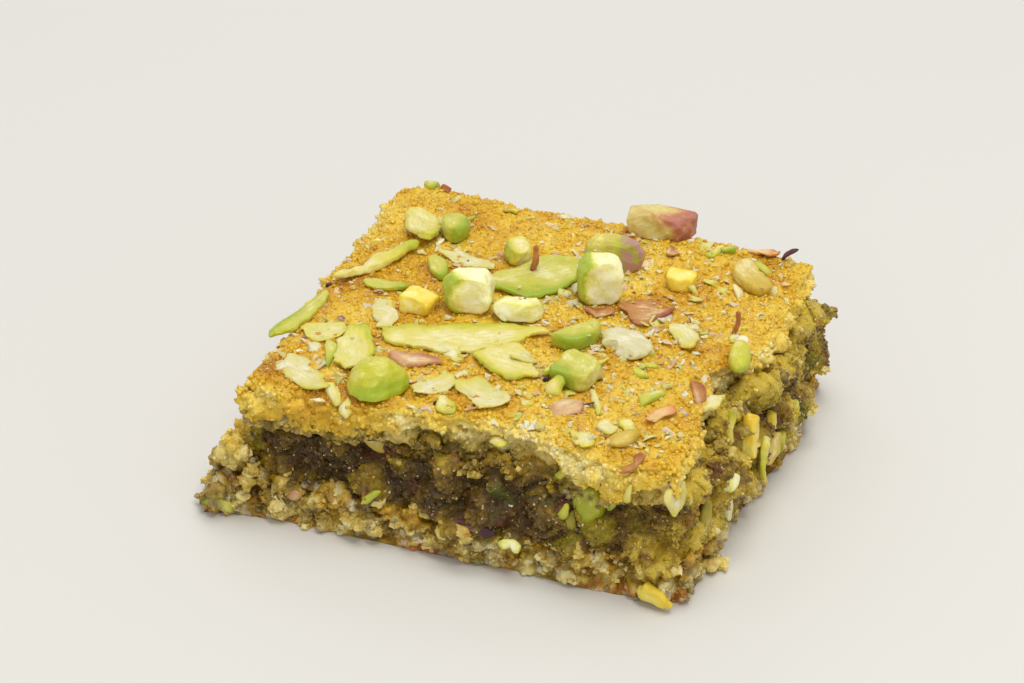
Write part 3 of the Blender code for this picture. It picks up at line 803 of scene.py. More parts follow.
def shape_top_crust(bm, lump):
    """Break the top crust into golden granular skin and paler crumb, and mark both."""
    overlap(bm, 11.5, 16.2, 1.7, 0.0, 12)
    nuts = nut_points()

    def rule(co, normal):
        upward = smooth(0.25, 0.85, normal.z)
        sideways = 1 - smooth(0.35, 0.85, abs(normal.z))
        ragged = 0.8 * waves(co, 2.0, 1) + 0.5 * waves(co, 0.8, 2)
        golden = smooth(-0.5, 0.4, co.z - gold_edge(co, normal) + ragged)
        golden = max(golden, upward)
        broad = waves(co, 7.0, 4)
        middle = waves(co, 2.4, 5)
        fine = waves(co, 1.0, 16)
        near = math.exp(-nuts.find(co)[2] / 1.1)
        top_relief = 0.16 * broad + 0.2 * middle + 0.12 * fine + 0.16 * (domes(co, 0.7, 6) - 0.4)
        top_relief += 0.26 * (domes(co, 1.5, 15) - 0.45) * smooth(-0.2, 0.5, waves(co, 4.0, 17))
        top_relief -= 0.9 * max(0.0, waves(co, 2.6, 7) - 0.32)
        top_relief += 0.18 * (domes(co + 0.4 * noise.noise_vector(co), 1.0, 18) - 0.5)
        bent = co + 0.8 * noise.noise_vector(co / 2.0)
        side_relief = 0.9 * (domes(bent, lump, 8) - 0.5) + 0.5 * (domes(bent, 1.1, 9) - 0.5)
        side_relief += 0.25 * (domes(co, 0.6, 10) - 0.5) + 0.6 * middle
        side_relief += 0.9 * golden - 0.95
        relief = top_relief + (side_relief - top_relief) * sideways
        if normal.z < -0.6:
            relief = 0.0
        low = smooth(14.0, 11.0, co.z)
        # Baked darkest at the front left, palest where the front edge is broken and at the rim.
        recess = smooth(-7, -3, co.x) * smooth(15, 11, co.x) * smooth(-17, -20, co.y)
        amber = smooth(-3, -8, co.x) * smooth(-15, -20, co.y)
        border = min(co.x + 23.5, 26.0 - co.x, co.y + 22.3, 24.3 - co.y)
        # The nut term gives a deeper amber round the nuts: partly syrup pooled there, partly
        # painted shade of the nuts.
        kind = (0.54 - 0.2 * recess + 0.26 * amber - 0.08 * smooth(4.0, 0.0, border)
                + 0.34 * broad + 0.24 * middle + 0.1 * fine + 0.3 * near * upward
                - 0.2 * sideways)
        broken = smooth(-0.4, -0.8, normal.y) * smooth(-7, -3, co.x) * smooth(15, 11, co.x)
        tone = 0.8 - 0.36 * low - 0.04 * broken + 0.26 * middle + 0.16 * fine + 0.1 * broad
        soak = golden * (0.4 + 0.5 * waves(co, 3.5, 11) + 0.5 * near) + 0.3 * low
        return normal * relief, tone, soak, golden, kind

    crumble(bm, rule)


def shape_filling(bm, lump):
    """Break the filling into lumps of chopped nut in a dark ground paste."""
    overlap(bm, 4.5, 11.5, 1.2, 1.7, 28)

    def rule(co, normal):
        sideways = max(1 - smooth(0.6, 0.95, abs(normal.z)), 0.7 * smooth(0.0, 0.9, normal.z))
        bent = co + 1.2 * noise.noise_vector(co / 3.0)
        bent.z *= 1.3
        big = domes(bent, lump, 21)
        small = domes(bent, 1.3, 22)
        grit = domes(co, 0.5, 23)
        wide = waves(co, 5.0, 24)
        relief = 2.2 * (big - 0.45) + 0.6 * (small - 0.5) + 0.2 * (grit - 0.5) + 0.9 * wide
        relief += 0.4 * smooth(10.5, 7.5, co.z) + 0.5 * waves(co, 2.2, 30)
        # Paler near the seams, where crust has mixed in.
        edge = min(co.z - 4.5, 11.5 - co.z)
        pale = smooth(1.2, -0.2, edge + 1.4 * waves(co, 2.0, 25))
        # Yellower towards the right and the left cut, apart from a few dark patches on the right.
        sunny = smooth(17, 25, co.x + 6 * waves(co, 3.0, 29) + 7 * smooth(0.0, 0.6, normal.x))
        sunny -= 0.9 * smooth(0.05, 0.4, waves(co, 4.5, 32)) * smooth(24, 26, co.x)
        sunny = max(sunny, 0.8 * smooth(-17.5, -20.5, co.x + 3 * waves(co, 2.4, 24)))
        # Six lumps in ten are whole nut, each with its own colour.
        own = chance(bent, lump, 21)
        share = 0.8 * smooth(0.25, 0.5, big) * (own > 0.4) * (1 - 0.8 * pale)
        kind = (own - 0.4) / 0.6
        if sunny > 0.4:
            kind = 0.3 + 0.3 * own
        # Tone rises with the height of the big lumps: painted light on their tops and painted shade
        # in the creases between them.
        tone = (0.27 + 0.2 * waves(co, 3.0, 26) + 0.14 * (small - 0.4) + 0.22 * (big - 0.4)
                + 0.24 * pale + 0.5 * sunny + 0.12 * smooth(0.0, 0.6, normal.x))
        soak = 0.85 + 0.5 * waves(co, 2.0, 27) - 0.2 * pale
        return normal * relief * sideways, tone, soak, share, kind

    crumble(bm, rule)


def shape_bottom_crust(bm, lump):
    """Break the bottom crust into pale soaked lumps with a browned skin underneath."""
    overlap(bm, 0.0, 4.5, 0.0, 1.6, 40)

    def rule(co, normal):
        sideways = 1 - smooth(0.5, 0.9, abs(normal.z))
        upward = smooth(0.3, 0.9, normal.z)
        lift = smooth(0.0, 0.8, co.z)
        bent = co + 0.9 * noise.noise_vector(co / 2.2)
        fine = waves(co, 0.9, 42)
        clump = domes(bent, lump, 31)
        relief = 1.8 * (clump - 0.5) + 0.6 * (domes(bent, 1.0, 32) - 0.5)
        relief += 0.16 * (domes(co, 0.5, 33) - 0.5) + 0.8 * waves(co, 3.6, 34)
        relief += (1 - lift) * 0.7 * waves(co, 2.4, 43) - 0.3
        relief *= max(sideways, 0.7 * upward) * (0.7 + 0.3 * lift)
        stained = smooth(2.2, 4.4, co.z + 1.6 * waves(co, 3.0, 37))
        skin = co.z + 2.6 * waves(co, 4.0, 35) + 0.6 * waves(co, 1.2, 36)
        tone = (0.52 + 0.5 * waves(co, 2.1, 38) + 0.16 * fine - 0.26 * stained
                + 0.4 * (clump - 0.4))
        soak = 0.5 + 0.5 * waves(co, 2.0, 39)
        move = normal * relief
        move.z *= lift
        return move, tone, soak, smooth(1.0, 0.2, skin), 0.45 + 0.5 * waves(co, 2.0, 41)

    crumble(bm, rule)
    for vert in bm.verts:
        # The ledge at the left corner crumbles away to its tip.
        worn = smooth(-24.0, -27.6, vert.co.x + 0.8 * waves(vert.co, 2.0, 44))
        vert.co.x += 1.3 * worn
        vert.co.z = max(vert.co.z * (1 - 0.72 * worn), 0.0)
    bm.normal_update()


def flat_faces(bm):
    """Tell which faces of a nut piece are knife cuts: they lie in large flat regions."""
    bm.faces.ensure_lookup_table()
    bm.normal_update()
    whole = sum(face.calc_area() for face in bm.faces)
    region = {}
    cuts = set()
    for start in bm.faces:
        if start.index in region:
            continue
        group = [start]
        region[start.index] = start.index
        for face in group:
            for edge in face.edges:
                for other in edge.link_faces:
                    level = other.normal.dot(face.normal) > SAME_PLANE
                    if level and other.index not in region:
                        region[other.index] = start.index
                        group.append(other)
        if sum(face.calc_area() for face in group) > CUT_SHARE * whole:
            cuts.update(face.index for face in group)
    return cuts


def split_tree(bm, wanted):
    """Make a search tree of some of a mesh's faces, or None if there are none."""
    if not wanted:
        return None
    part = bm.copy()
    part.faces.ensure_lookup_table()
    others = [face for face in part.faces if face.index not in wanted]
    bmesh.ops.delete(part, geom=others, context="FACES")
    found = BVHTree.FromBMesh(part)
    part.free()
    return found


def long_axes(bm):
    """Directions along, across and through a piece, found from how its points spread."""
    middle = sum((vert.co for vert in bm.verts), Vector()) / len(bm.verts)
    far = max(bm.verts, key=lambda vert: (vert.co - middle).length)
    other = max(bm.verts, key=lambda vert: (vert.co - far.co).length)
    along = (other.co - far.co).normalized()
    across = UP.cross(along).normalized() if abs(along.z) < 0.95 else Vector((1, 0, 0))
    return middle, along, across, along.cross(across)


def thinned(bm, look, step):
    """Flatten a nut piece to its share of thickness, and divide its surface evenly."""
    floor = min(vert.co.z for vert in bm.verts)
    flatten = Matrix.Translation((0, 0, floor)) @ Matrix.Diagonal((1, 1, look.thin, 1))
    flatten @= Matrix.Translation((0, 0, -floor))
    bmesh.ops.transform(bm, matrix=flatten, verts=bm.verts[:])
    bm = remeshed(bm, step)
    soften(bm, 0.5, 1 if look.thin < THIN else 4)
    return bm


def nut_surface(bm, step, seed, look):
    """Give a nut piece its fine surface, and mark its skin, its tone and its streaks.

    Towards the look's side it turns from the pale middle to the green skin. A thin piece has a
    ragged outline, smoother where the skin is.
    """
    cuts = flat_faces(bm)
    skin = split_tree(bm, {face.index for face in bm.faces} - cuts)
    middle, along, across, through = long_axes(bm)
    towards = Vector((math.cos(math.radians(look.side)), math.sin(math.radians(look.side)), 0.0))
    half = max(abs((vert.co - middle).dot(towards)) for vert in bm.verts)
    reach = max(abs((vert.co - middle).dot(along)) for vert in bm.verts)
    bm = thinned(bm, look, step)
    thin = 1 if look.thin < THIN else 0
    rim_of = bm.verts.layers.float.new("rim")
    tone_of = bm.verts.layers.float.new("tone")
    lie_of = bm.verts.layers.float_vector.new("lie")
    elsewhere = Vector((seed * 3.7, seed * 1.9, seed * 5.3))
    outline = [vert.co for vert in bm.verts if abs(vert.normal.z) < 0.5]
    edge_tree = tree_of_points(outline)
    moves = []
    for vert in bm.verts:
        co = vert.co
        normal = vert.normal
        edge = math.exp(-edge_tree.find(co)[2] / 0.5) if thin and outline else 1.0
        around = sum((link.other_vert(vert).co for link in vert.link_edges), Vector())
        corner = smooth(0.01, 0.09, (co - around / len(vert.link_edges)).dot(normal) / step)
        depth = skin.find_nearest(co)[3] if skin else 9.0
        rim = math.exp(-max(0.0, depth - 0.15) / 0.7)
        local = co - middle
        place = local.dot(towards) / half
        near = smooth(-0.3, 0.9, place)
        # A vivid piece loses its green on the faces that look up: painted light on its top, its
        # sides left green.
        if look.finish == "vivid":
            rim *= 1 - 0.85 * smooth(0.1, 0.85, normal.z)
        vert[rim_of] = look.green * (0.5 * smooth(0.1, 1.0, place) + near * rim) + 0.1 * rim
        # Thin edges and corners let more light through, and look greener.
        clear = edge if thin else corner
        vert[rim_of] += 0.32 * clear * (0.7 + 0.8 * waves(co, 2.2, seed + 0.6))
        vert[tone_of] = 0.2 * waves(co, 2.6, seed + 0.3)
        vert[lie_of] = Vector((
            0.35 * local.dot(along), 4.0 * local.dot(across), 4.0 * local.dot(through)))
        drift = 0.5 * noise.noise_vector(co / 2.4 + elsewhere)
        drift += 0.2 * noise.noise_vector(co / 1.0 + elsewhere) * edge
        drift += 0.08 * noise.noise_vector(co / 0.42 + elsewhere) * edge * thin
        drift *= look.ragged * (1 - 0.6 * near * min(1.0, look.green) * thin)
        drift.z *= 0.5 * (1 - thin)
        drift.z += 0.22 * thin * waves(Vector((co.x, co.y, 0.0)), 2.2, seed + 0.4)
        relief = 0.06 * waves(co, 1.4, seed + 0.1) + 0.04 * waves(co, 0.5, seed + 0.2)
        relief += 0.1 * min(0.0, waves(co, 1.0, seed + 0.5) + 0.2)
        drift.z += look.curl * (local.dot(along) / reach) ** 2
        moves.append(normal * relief + drift)
    shift(bm, moves)
    return bm


def knife_cut(bm, point, direction):
    """Cut a piece with a plane, drop what lies beyond it and close the cut face."""
    whole = bm.verts[:] + bm.edges[:] + bm.faces[:]
    cut = bmesh.ops.bisect_plane(
        bm, geom=whole, dist=1e-4, plane_co=point, plane_no=direction, clear_outer=True)
    rim = [item for item in cut["geom_cut"] if isinstance(item, bmesh.types.BMEdge)]
    bmesh.ops.holes_fill(bm, edges=rim, sides=0)


def bit_mesh(bit, rng):
    """Make a small nut piece at the origin: length along X, width along Y, thickness along Z."""
    cut = CUTS[bit.cut]
    half = [share * length for share, length in zip(cut.axes, bit.size)]
    bm = bmesh.new()
    bmesh.ops.create_icosphere(bm, subdivisions=3, radius=1.0)
    elsewhere = Vector((rng.uniform(0, 50), 0, 0))
    for vert in bm.verts:
        lump = 1 + 0.14 * noise.noise(vert.co * 1.5 + elsewhere)
        slim = 1 - 0.25 * vert.co.x if bit.cut in ("sliver", "flake") else 1.0
        vert.co = Vector((vert.co.x * half[0], vert.co.y * half[1] * slim,
                          vert.co.z * half[2])) * lump
    if cut.level < 1.0:
        knife_cut(bm, Vector((0, 0, cut.level * half[2])), UP)
        knife_cut(bm, Vector((0, 0, -cut.level * half[2])), -UP)
    start = rng.uniform(0, 360)
    for number in range(cut.trims):
        angle = math.radians(start + number * 360 / cut.trims + rng.uniform(-25, 25))
        tilt = rng.uniform(-0.35, 0.35) if bit.cut == "chunk" else 0.0
        direction = Vector((math.cos(angle), math.sin(angle), tilt)).normalized()
        reach = Vector((direction.x * half[0], direction.y * half[1], direction.z * half[2]))
        knife_cut(bm, direction * reach.length * rng.uniform(0.62, 0.85), direction)
    bmesh.ops.triangulate(bm, faces=bm.faces[:])
    length = bit.size[0]
    curl = cut.curl * rng.choice((-1, 1))
    for vert in bm.verts:
        vert.co.z += curl * length * (2 * vert.co.x / length) ** 2
    return bm


def finished_bit(bit, step, seed):
    """Make a small piece with its fine surface, still at the origin."""
    rng = random.Random(seed)
    look = NutLook(bit.finish, rng.uniform(0, 360), rng.uniform(0.2, 0.8), 1.0,
                   CUTS[bit.cut].ragged, 0.0)
    bm = nut_surface(bit_mesh(bit, rng), step, seed, look)
    index = FINISH_ORDER.index(bit.finish)
    for face in bm.faces:
        face.material_index = index
    return bm


def surface_below(tree, x, y, height=CAST_FROM):
    """Find the point of a surface straight below a place, or None."""
    return tree.ray_cast(Vector((x, y, height)), -UP)[0]


def cast_on_side(tree, side, along, height):
    """Find the point and the normal of a cut face, seen straight from its side."""
    outward = SIDES[side]
    start = Vector((abs(outward.y) * along, abs(outward.x) * along, height))
    return tree.ray_cast(outward * CAST_FROM + start, -outward)[:2]


def keep_off_floor(bm):
    """Push whatever reaches too low back up above the floor."""
    for vert in bm.verts:
        vert.co.z = max(vert.co.z, CLEARANCE)


def settle(bm, trees):
    """Lower a piece until a tenth of its underside touches what lies under it."""
    gaps = []
    for vert in bm.verts:
        if vert.normal.z > -0.3:
            continue
        hits = [surface_below(tree, vert.co.x, vert.co.y, vert.co.z + 0.5) for tree in trees]
        heights = [hit.z for hit in hits if hit]
        if heights:
            gaps.append(vert.co.z - max(heights))
    gaps.sort()
    drop = gaps[len(gaps) // 10] + BEDDING if gaps else 0.0
    bmesh.ops.translate(bm, vec=-UP * min(MAX_DROP, max(0.0, drop)), verts=bm.verts[:])


def lay_down(bm, tree, bit):
    """Turn a small piece to its heading, tilt it as the ground lies, and set it down."""
    heading = math.radians(bit.heading)
    along = Vector((math.cos(heading), math.sin(heading), 0.0))
    across = Vector((-along.y, along.x, 0.0))
    here = Vector((*bit.at, 0.0))
    centre = surface_below(tree, here.x, here.y)
    if centre is None:
        raise RuntimeError(f"nothing lies under the small piece at {bit.at}")
    heights = [centre.z]
    slopes = []
    for direction, length in ((along, bit.size[0]), (across, bit.size[1])):
        ends = []
        for sign in (-1, 1):
            spot = here + direction * (0.32 * length) * sign
            ends.append(surface_below(tree, spot.x, spot.y))
        first, second = ends
        rise = (second.z - first.z) / (0.64 * length) if first and second else 0.0
        slopes.append(max(-0.6, min(0.6, rise)))
        heights += [point.z for point in ends if point]
    along_line = (along + UP * slopes[0]).normalized()
    normal = along_line.cross((across + UP * slopes[1]).normalized()).normalized()
    level = sum(heights) / len(heights) + 0.3 * bit.size[2]
    turn = axes_matrix((along_line, normal.cross(along_line), normal), (here.x, here.y, level))
    bmesh.ops.transform(bm, matrix=turn, verts=bm.verts[:])


class MAAMOUL_OT_layers(bpy.types.Operator):
    """Make the golden top crust, the pistachio filling and the soaked bottom crust"""

    bl_idname = "maamoul.layers"
    bl_label = "Layers"

    def execute(self, context):
        crust = context.scene.maamoul_crust
        filling = context.scene.maamoul_filling
        # Node, piece, settings, what shapes it, which of its flat faces are hidden, how wide the
        # rim round them is that stays fine, what it is made of.
        rows = (
            ("top_crust", "golden_crust", crust, shape_top_crust, (-1,), 6.0,
             "baked semolina crust"),
            ("filling", "pistachio_paste", filling, shape_filling, (1, -1), 6.0,
             "ground pistachio paste"),
            ("bottom_crust", "soaked_crust", crust, shape_bottom_crust, (1, -1), 8.0,
             "soaked semolina crust"),
        )
        for node, name, settings, shape, hidden, margin, look in rows:
            bm = remeshed(cad_copy(node), settings.step / MM)
            for facing in hidden:
                cap_hidden(bm, node, facing, margin)
            shape(bm, settings.lump / MM)
            add_piece(name, bm, [crumb_material(look)], [node])
        return {"FINISHED"}


def broken_rule(co, normal):
    """Crumble the broken lump, golden above and pale below."""
    relief = 0.9 * (domes(co, 1.9, 41) - 0.5) + 0.5 * (domes(co, 0.8, 42) - 0.5)
    gold = smooth(6.6, 7.8, co.z + 1.6 * waves(co, 1.5, 45))
    return (normal * (relief - 0.3), 0.75 + 0.4 * waves(co, 1.6, 46),
            0.3 + 0.3 * waves(co, 1.5, 44), gold, 0.4 + 0.4 * waves(co, 2.2, 43))


class MAAMOUL_OT_broken_lump(bpy.types.Operator):
    """Make the lump of crust that lies on the ledge"""

    bl_idname = "maamoul.broken_lump"
    bl_label = "Broken lump"

    def execute(self, context):
        settings = context.scene.maamoul_crust
        bm = cad_copy("broken_crust")
        # It has crumbled: it is smaller than its solid, and leans on the foot of the cut.
        low, high = (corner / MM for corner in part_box("broken_crust"))
        corner = Matrix.Translation((high.x + 0.2, high.y, low.z - 0.3))
        shrink = corner @ Matrix.Scale(0.74, 4) @ corner.inverted()
        bmesh.ops.transform(bm, matrix=shrink, verts=bm.verts[:])
        bm = remeshed(bm, 0.8 * settings.step / MM)
        crumble(bm, broken_rule)
        look = bpy.data.materials["baked semolina crust"]
        add_piece("broken_lump", bm, [look], ["broken_crust"])
        return {"FINISHED"}


class MAAMOUL_OT_nuts(bpy.types.Operator):
    """Make the larger pieces of pistachio"""

    bl_idname = "maamoul.nuts"
    bl_label = "Pistachio pieces"

    def execute(self, context):
        step = context.scene.maamoul_nuts.step / MM
        looks = dict(zip(FINISH_ORDER, nut_materials()))
        made = []
        for seed, (node, look) in enumerate(NUT_LOOKS.items(), start=1):
            bm = nut_surface(cad_copy(node), step, seed, look)
            made.append((min(vert.co.z for vert in bm.verts), node, bm))
        # The lowest pieces settle on the crust first, and the others on them.
        made.sort(key=lambda piece: piece[:2])
        trees = [tree_of("golden_crust")]
        for _, node, bm in made:
            settle(bm, trees)
            finish = NUT_LOOKS[node].finish
            name = NUT_PIECES[node]
            add_piece(name, bm, [looks[finish]], [node])
            trees.append(tree_of(name))
        return {"FINISHED"}


class MAAMOUL_OT_top_bits(bpy.types.Operator):
    """Strew the small flakes, slivers and skins on the top"""

    bl_idname = "maamoul.top_bits"
    bl_label = "Small pieces on the top"

    def execute(self, context):
        step = context.scene.maamoul_nuts.small_step / MM
        ground = tree_of("golden_crust", *NUT_PIECES.values())
        whole = bmesh.new()
        for seed, bit in enumerate(TOP_BITS, start=101):
            bm = finished_bit(bit, step, seed)
            lay_down(bm, ground, bit)
            join(whole, bm)
        for seed, bit in enumerate(UPRIGHT_BITS, start=181):
            bm = finished_bit(bit, step, seed)
            foot = surface_below(ground, *bit.at)
            turn = (Matrix.Translation(foot + UP * 0.42 * bit.size[0])
                    @ Matrix.Rotation(math.radians(25), 4, "Z")
                    @ Matrix.Rotation(-math.radians(bit.heading), 4, "Y"))
            bmesh.ops.transform(bm, matrix=turn, verts=bm.verts[:])
            join(whole, bm)
        add_piece("small_pieces_on_top", whole, nut_materials())
        return {"FINISHED"}


class MAAMOUL_OT_side_bits(bpy.types.Operator):
    """Set the nut pieces that stick out of the cut faces"""

    bl_idname = "maamoul.side_bits"
    bl_label = "Pieces in the cut faces"

    def execute(self, context):
        # These are small and half hidden, so a coarser surface does.
        step = context.scene.maamoul_nuts.small_step / MM * 1.15
        ground = tree_of("golden_crust", "pistachio_paste", "soaked_crust")
        whole = bmesh.new()
        for seed, bit in enumerate(SIDE_BITS, start=201):
            bm = finished_bit(bit, step, seed)
            hit = cast_on_side(ground, bit.side, *bit.at)[0]
            if hit is None:
                raise RuntimeError(f"no cut face behind the piece at {bit.at}")
            outward = SIDES[bit.side]
            place = hit + outward * (0.1 * bit.size[2] - 1.3 * bit.sunk)
            lean = Matrix.Rotation(math.radians(18 * math.sin(seed * 2.4)), 4, "X")
            spin = Matrix.Rotation(math.radians(bit.angle), 4, "Z")
            turn = axes_matrix((UP.cross(outward), UP, outward), place) @ spin @ lean
            bmesh.ops.transform(bm, matrix=turn, verts=bm.verts[:])
            join(whole, bm)
        keep_off_floor(whole)
        add_piece("pieces_in_cut_faces", whole, nut_materials())
        return {"FINISHED"}


def grains_on(base, count, size, seed, wanted, spread, glossy, lighter, swollen=False):
    """Scatter grains over a finished piece where wanted(place, normal) allows it.

    Each grain is an uneven block, as a mill breaks it, or round where it has swollen in syrup. It
    takes the tone under it, changed by up to spread. The share glossy of them is wet, and lighter
    is added to the tone of all of them.
    """
    rng = random.Random(seed)
    source = bmesh.new()
    source.from_mesh(bpy.data.objects[base].data)
    source.verts.ensure_lookup_table()
    marks = source.verts.layers.float.keys()
    whole = bmesh.new()
    batch = bmesh.new()
    made = 0
    while made < count:
        vert = source.verts[rng.randrange(len(source.verts))]
        place = vert.co / MM
        if not wanted(place, vert.normal):
            continue
        if not batch.verts:
            for mark in marks:
                batch.verts.layers.float.new(mark)
        length = size * (0.55 + 1.05 * rng.random() ** 2)
        stretch = Matrix.Diagonal((length, length * rng.uniform(0.6, 0.95),
                                   length * rng.uniform(0.5, 0.8), 1.0))
        turn = random_turn(rng)
        tip = random_turn(rng)
        lift = Matrix.Translation(place + vert.normal * length * rng.uniform(-0.3, 0.08))
        matrix = lift @ turn @ tip @ stretch
        if swollen:
            grain = bmesh.ops.create_icosphere(batch, subdivisions=2, radius=0.5, matrix=matrix)
        else:
            grain = bmesh.ops.create_cube(batch, size=1.0, matrix=matrix)
        values = {mark: vert[source.verts.layers.float[mark]] for mark in marks}
        values["tone"] += rng.uniform(-spread, spread) + lighter
        values["kind"] += rng.uniform(-spread, spread) - lighter
        if rng.random() < glossy:
            values["soak"] = GLAZED
        uneven = 0.04 if swollen else 0.2
        for new in grain["verts"]:
            for mark, value in values.items():
                new[batch.verts.layers.float[mark]] = value
            new.co += length * uneven * Vector([rng.uniform(-1, 1) for _ in range(3)])
        made += 1
        if made % BATCH == 0 or made == count:
            keep_off_floor(batch)
            join(whole, batch)
            batch = bmesh.new()
    source.free()
    return whole


def add_cluster(batch, place, size, rng, values):
    """Add one cluster of crumbs: an uneven ball of grains stuck together."""
    turn = random_turn(rng)
    stretch = Matrix.Diagonal((size / 2, size / 2 * rng.uniform(0.65, 1), size / 2 * 0.7, 1.0))
    made = bmesh.ops.create_icosphere(
        batch, subdivisions=2 if size < 1.1 else 3, radius=1.0,
        matrix=Matrix.Translation(place) @ turn @ stretch)["verts"]
    for new in made:
        rise = 0.5 * (domes(new.co, 0.8, 51) - 0.5) + 0.35 * waves(new.co, 1.3, 52)
        new.co += (new.co - place).normalized() * rise * min(1.0, size / 2)
        for mark, value in zip(MARKS, values):
            new[batch.verts.layers.float[mark]] = value + 0.15 * waves(new.co, 1.0, 53)


def cluster_seams(whole, ground, rng, count):
    """Stick clusters to the seams between the layers and to the foot of the cut faces."""
    for _ in range(count):
        side = rng.choice(("front", "front", "front", "right", "right", "back", "left"))
        along = rng.uniform(-22, 23)
        seam = rng.choice(("upper", "upper", "lower", "foot", "foot"))
        height = {"upper": rng.gauss(11.3, 0.6), "lower": rng.gauss(4.4, 0.7),
                  "foot": rng.uniform(0.5, 3.2)}[seam]
        place, normal = cast_on_side(ground, side, along, max(0.5, height))
        if place is None or height > 12.8:
            continue
        size = 0.6 + 1.5 * rng.random() ** 1.5
        if seam == "upper":
            size = 0.5 + 0.8 * rng.random()
            values = (rng.uniform(0.1, 0.6), 0.7, 0.0, 0.3)
        else:
            values = (rng.uniform(0.3, 0.95), 0.8, 0.0, 0.4)
        add_cluster(whole, place - normal * 0.35 * size, size, rng, values)


def cluster_notch(whole, ground, rng):
    """Strew clusters on the filling where it lies bare in the notch on the right."""
    for _ in range(BARE_CLUSTERS):
        foot = surface_below(ground, rng.uniform(20.5, 27.5), rng.uniform(-12, 23))
        if foot is None or foot.z > 13.0:
            continue
        size = 0.7 + 1.5 * rng.random() ** 1.5
        values = (rng.uniform(0.15, 0.6), 0.6, 0.0, 0.4)
        add_cluster(whole, foot, size, rng, values)


def cluster_heap(ground, rng, level, count):
    """Make one layer of the heap on the ledge, which falls away down to the tip."""
    heap = bmesh.new()
    marked(heap)
    for _ in range(count):
        x = rng.uniform(-26.0 + 1.0 * level, -20.0)
        y = rng.uniform(-24.4 + 0.5 * level, -13.0)
        foot = surface_below(ground, x, y)
        slope = 11.5 - 1.75 * max(0.0, -21.4 - x)
        if foot is None or foot.z > slope:
            continue
        size = rng.uniform(1.0, 2.8 - 0.4 * level)
        gold = 0.7 * smooth(6.0, 9.0, foot.z + rng.uniform(-3, 3))
        tone = rng.uniform(0.0, 0.5) + 0.5 * smooth(2.5, 6.5, foot.z)
        add_cluster(heap, foot + UP * 0.1 * size, size, rng, (tone, 0.6, gold, 0.5))
    return heap


class MAAMOUL_OT_clusters(bpy.types.Operator):
    """Heap small clusters of crumb on the ledge and along the seams of the cut faces"""

    bl_idname = "maamoul.clusters"
    bl_label = "Crumb clusters"

    def execute(self, context):
        rng = random.Random(CLUSTER_SEED)
        layers = ("golden_crust", "pistachio_paste", "soaked_crust", "broken_lump")
        ground = tree_of(*layers)
        whole = bmesh.new()
        marked(whole)
        cluster_seams(whole, ground, rng, context.scene.maamoul_crust.clusters)
        cluster_notch(whole, ground, rng)
        for level, count in enumerate(HEAP):
            join(whole, cluster_heap(ground, rng, level, count))
            ground = tree_of(*layers, extra=whole)
        for (x, y), size in DROPPED:
            add_cluster(whole, Vector((x, y, 0.4 * size)), size, rng, (0.85, 0.5, 0.6, 0.2))
        keep_off_floor(whole)
        look = bpy.data.materials["baked semolina crust"]
        add_piece("crumb_clusters", whole, [look])
        return {"FINISHED"}


class MAAMOUL_OT_grains(bpy.types.Operator):
    """Scatter the grains of semolina and ground nut"""

    bl_idname = "maamoul.grains"
    bl_label = "Grains"

    def execute(self, context):
        crust = context.scene.maamoul_crust
        filling = context.scene.maamoul_filling
        size = crust.grain / MM
        # Base, name, slot, count, size, spread of tone, share of glossy ones, lighter, where.
        rows = (
            ("golden_crust", "golden_grains", "top_crust", crust.grains, size, 0.12, 0.2, 0.0,
             lambda place, normal: normal.z > -0.5 and place.z > 10.5),
            ("golden_crust", "sugar_and_glint_grains", "top_crust", crust.grains // 4, 0.5 * size, 0.1, 0.8,
             0.22, lambda place, normal: normal.z > 0.3 and place.z > 13),
            ("pistachio_paste", "paste_grains", "filling", filling.grains, 0.95 * size, 0.1, 0.4,
             0.04, lambda place, normal: abs(normal.z) < 0.8 or normal.z > 0 and place.x > 21),
            ("pistachio_paste", "sugar_and_glints_on_paste", "filling", filling.grains // 4, 0.45 * size,
             0.12, 1.0, 0.4, lambda place, normal: abs(normal.z) < 0.8),
            ("soaked_crust", "soaked_grains", "bottom_crust", crust.grains // 3, 1.1 * size, 0.14,
             0.3, 0.06, lambda place, normal: place.z > 0.5 and abs(normal.z) < 0.85),
            ("crumb_clusters", "cluster_grains", "top_crust", crust.grains // 4, 1.15 * size, 0.14,
             0.3, 0.06, lambda place, normal: normal.z > -0.6),
        )
        # The sugar grains are partly real sugar and partly painted glints: pale specks on the crust
        # and the paste.
        sugar = sugar_and_glint_material()
        for seed, row in enumerate(rows, start=301):
            base, name, slot, count, length, spread, glossy, lighter, wanted = row
            bm = grains_on(base, count, length, seed, wanted, spread, glossy, lighter)
            look = bpy.data.objects[base].data.materials[0]
            piece = add_piece(name, bm, [sugar if "sugar" in name else loose_look(look)])
            if name != "golden_grains":
                # Loose grains keep their broken faces, which catch the light.
                piece.data.shade_flat()
        return {"FINISHED"}


class MAAMOUL_OT_swollen_grains(bpy.types.Operator):
    """Stick clumps of swollen, glassy grains to the cut crusts"""

    bl_idname = "maamoul.swollen_grains"
    bl_label = "Swollen grains"

    def execute(self, context):
        crust = context.scene.maamoul_crust
        size = 1.9 * crust.grain / MM
        look = crumb_material("glassy semolina")
        look.node_tree.nodes["Principled BSDF"].inputs["Transmission Weight"].default_value = 0.4

        def in_clump(place, normal):
            return waves(place, 2.6, 61) > 0.12 and abs(normal.z) < 0.9

        rows = (
            ("soaked_crust", "swollen_grains_below", "bottom_crust", crust.swollen,
             lambda place, normal: 0.3 < place.z < 3.6 and in_clump(place, normal)),
            ("golden_crust", "swollen_grains_above", "top_crust", crust.swollen // 3,
             lambda place, normal: place.z < 13.0 and in_clump(place, normal)),
        )
        for seed, (base, name, slot, count, wanted) in enumerate(rows, start=351):
            bm = grains_on(base, count, size, seed, wanted, 0.2, 0.6, 0.05, swollen=True)
            add_piece(name, bm, [look])
        return {"FINISHED"}


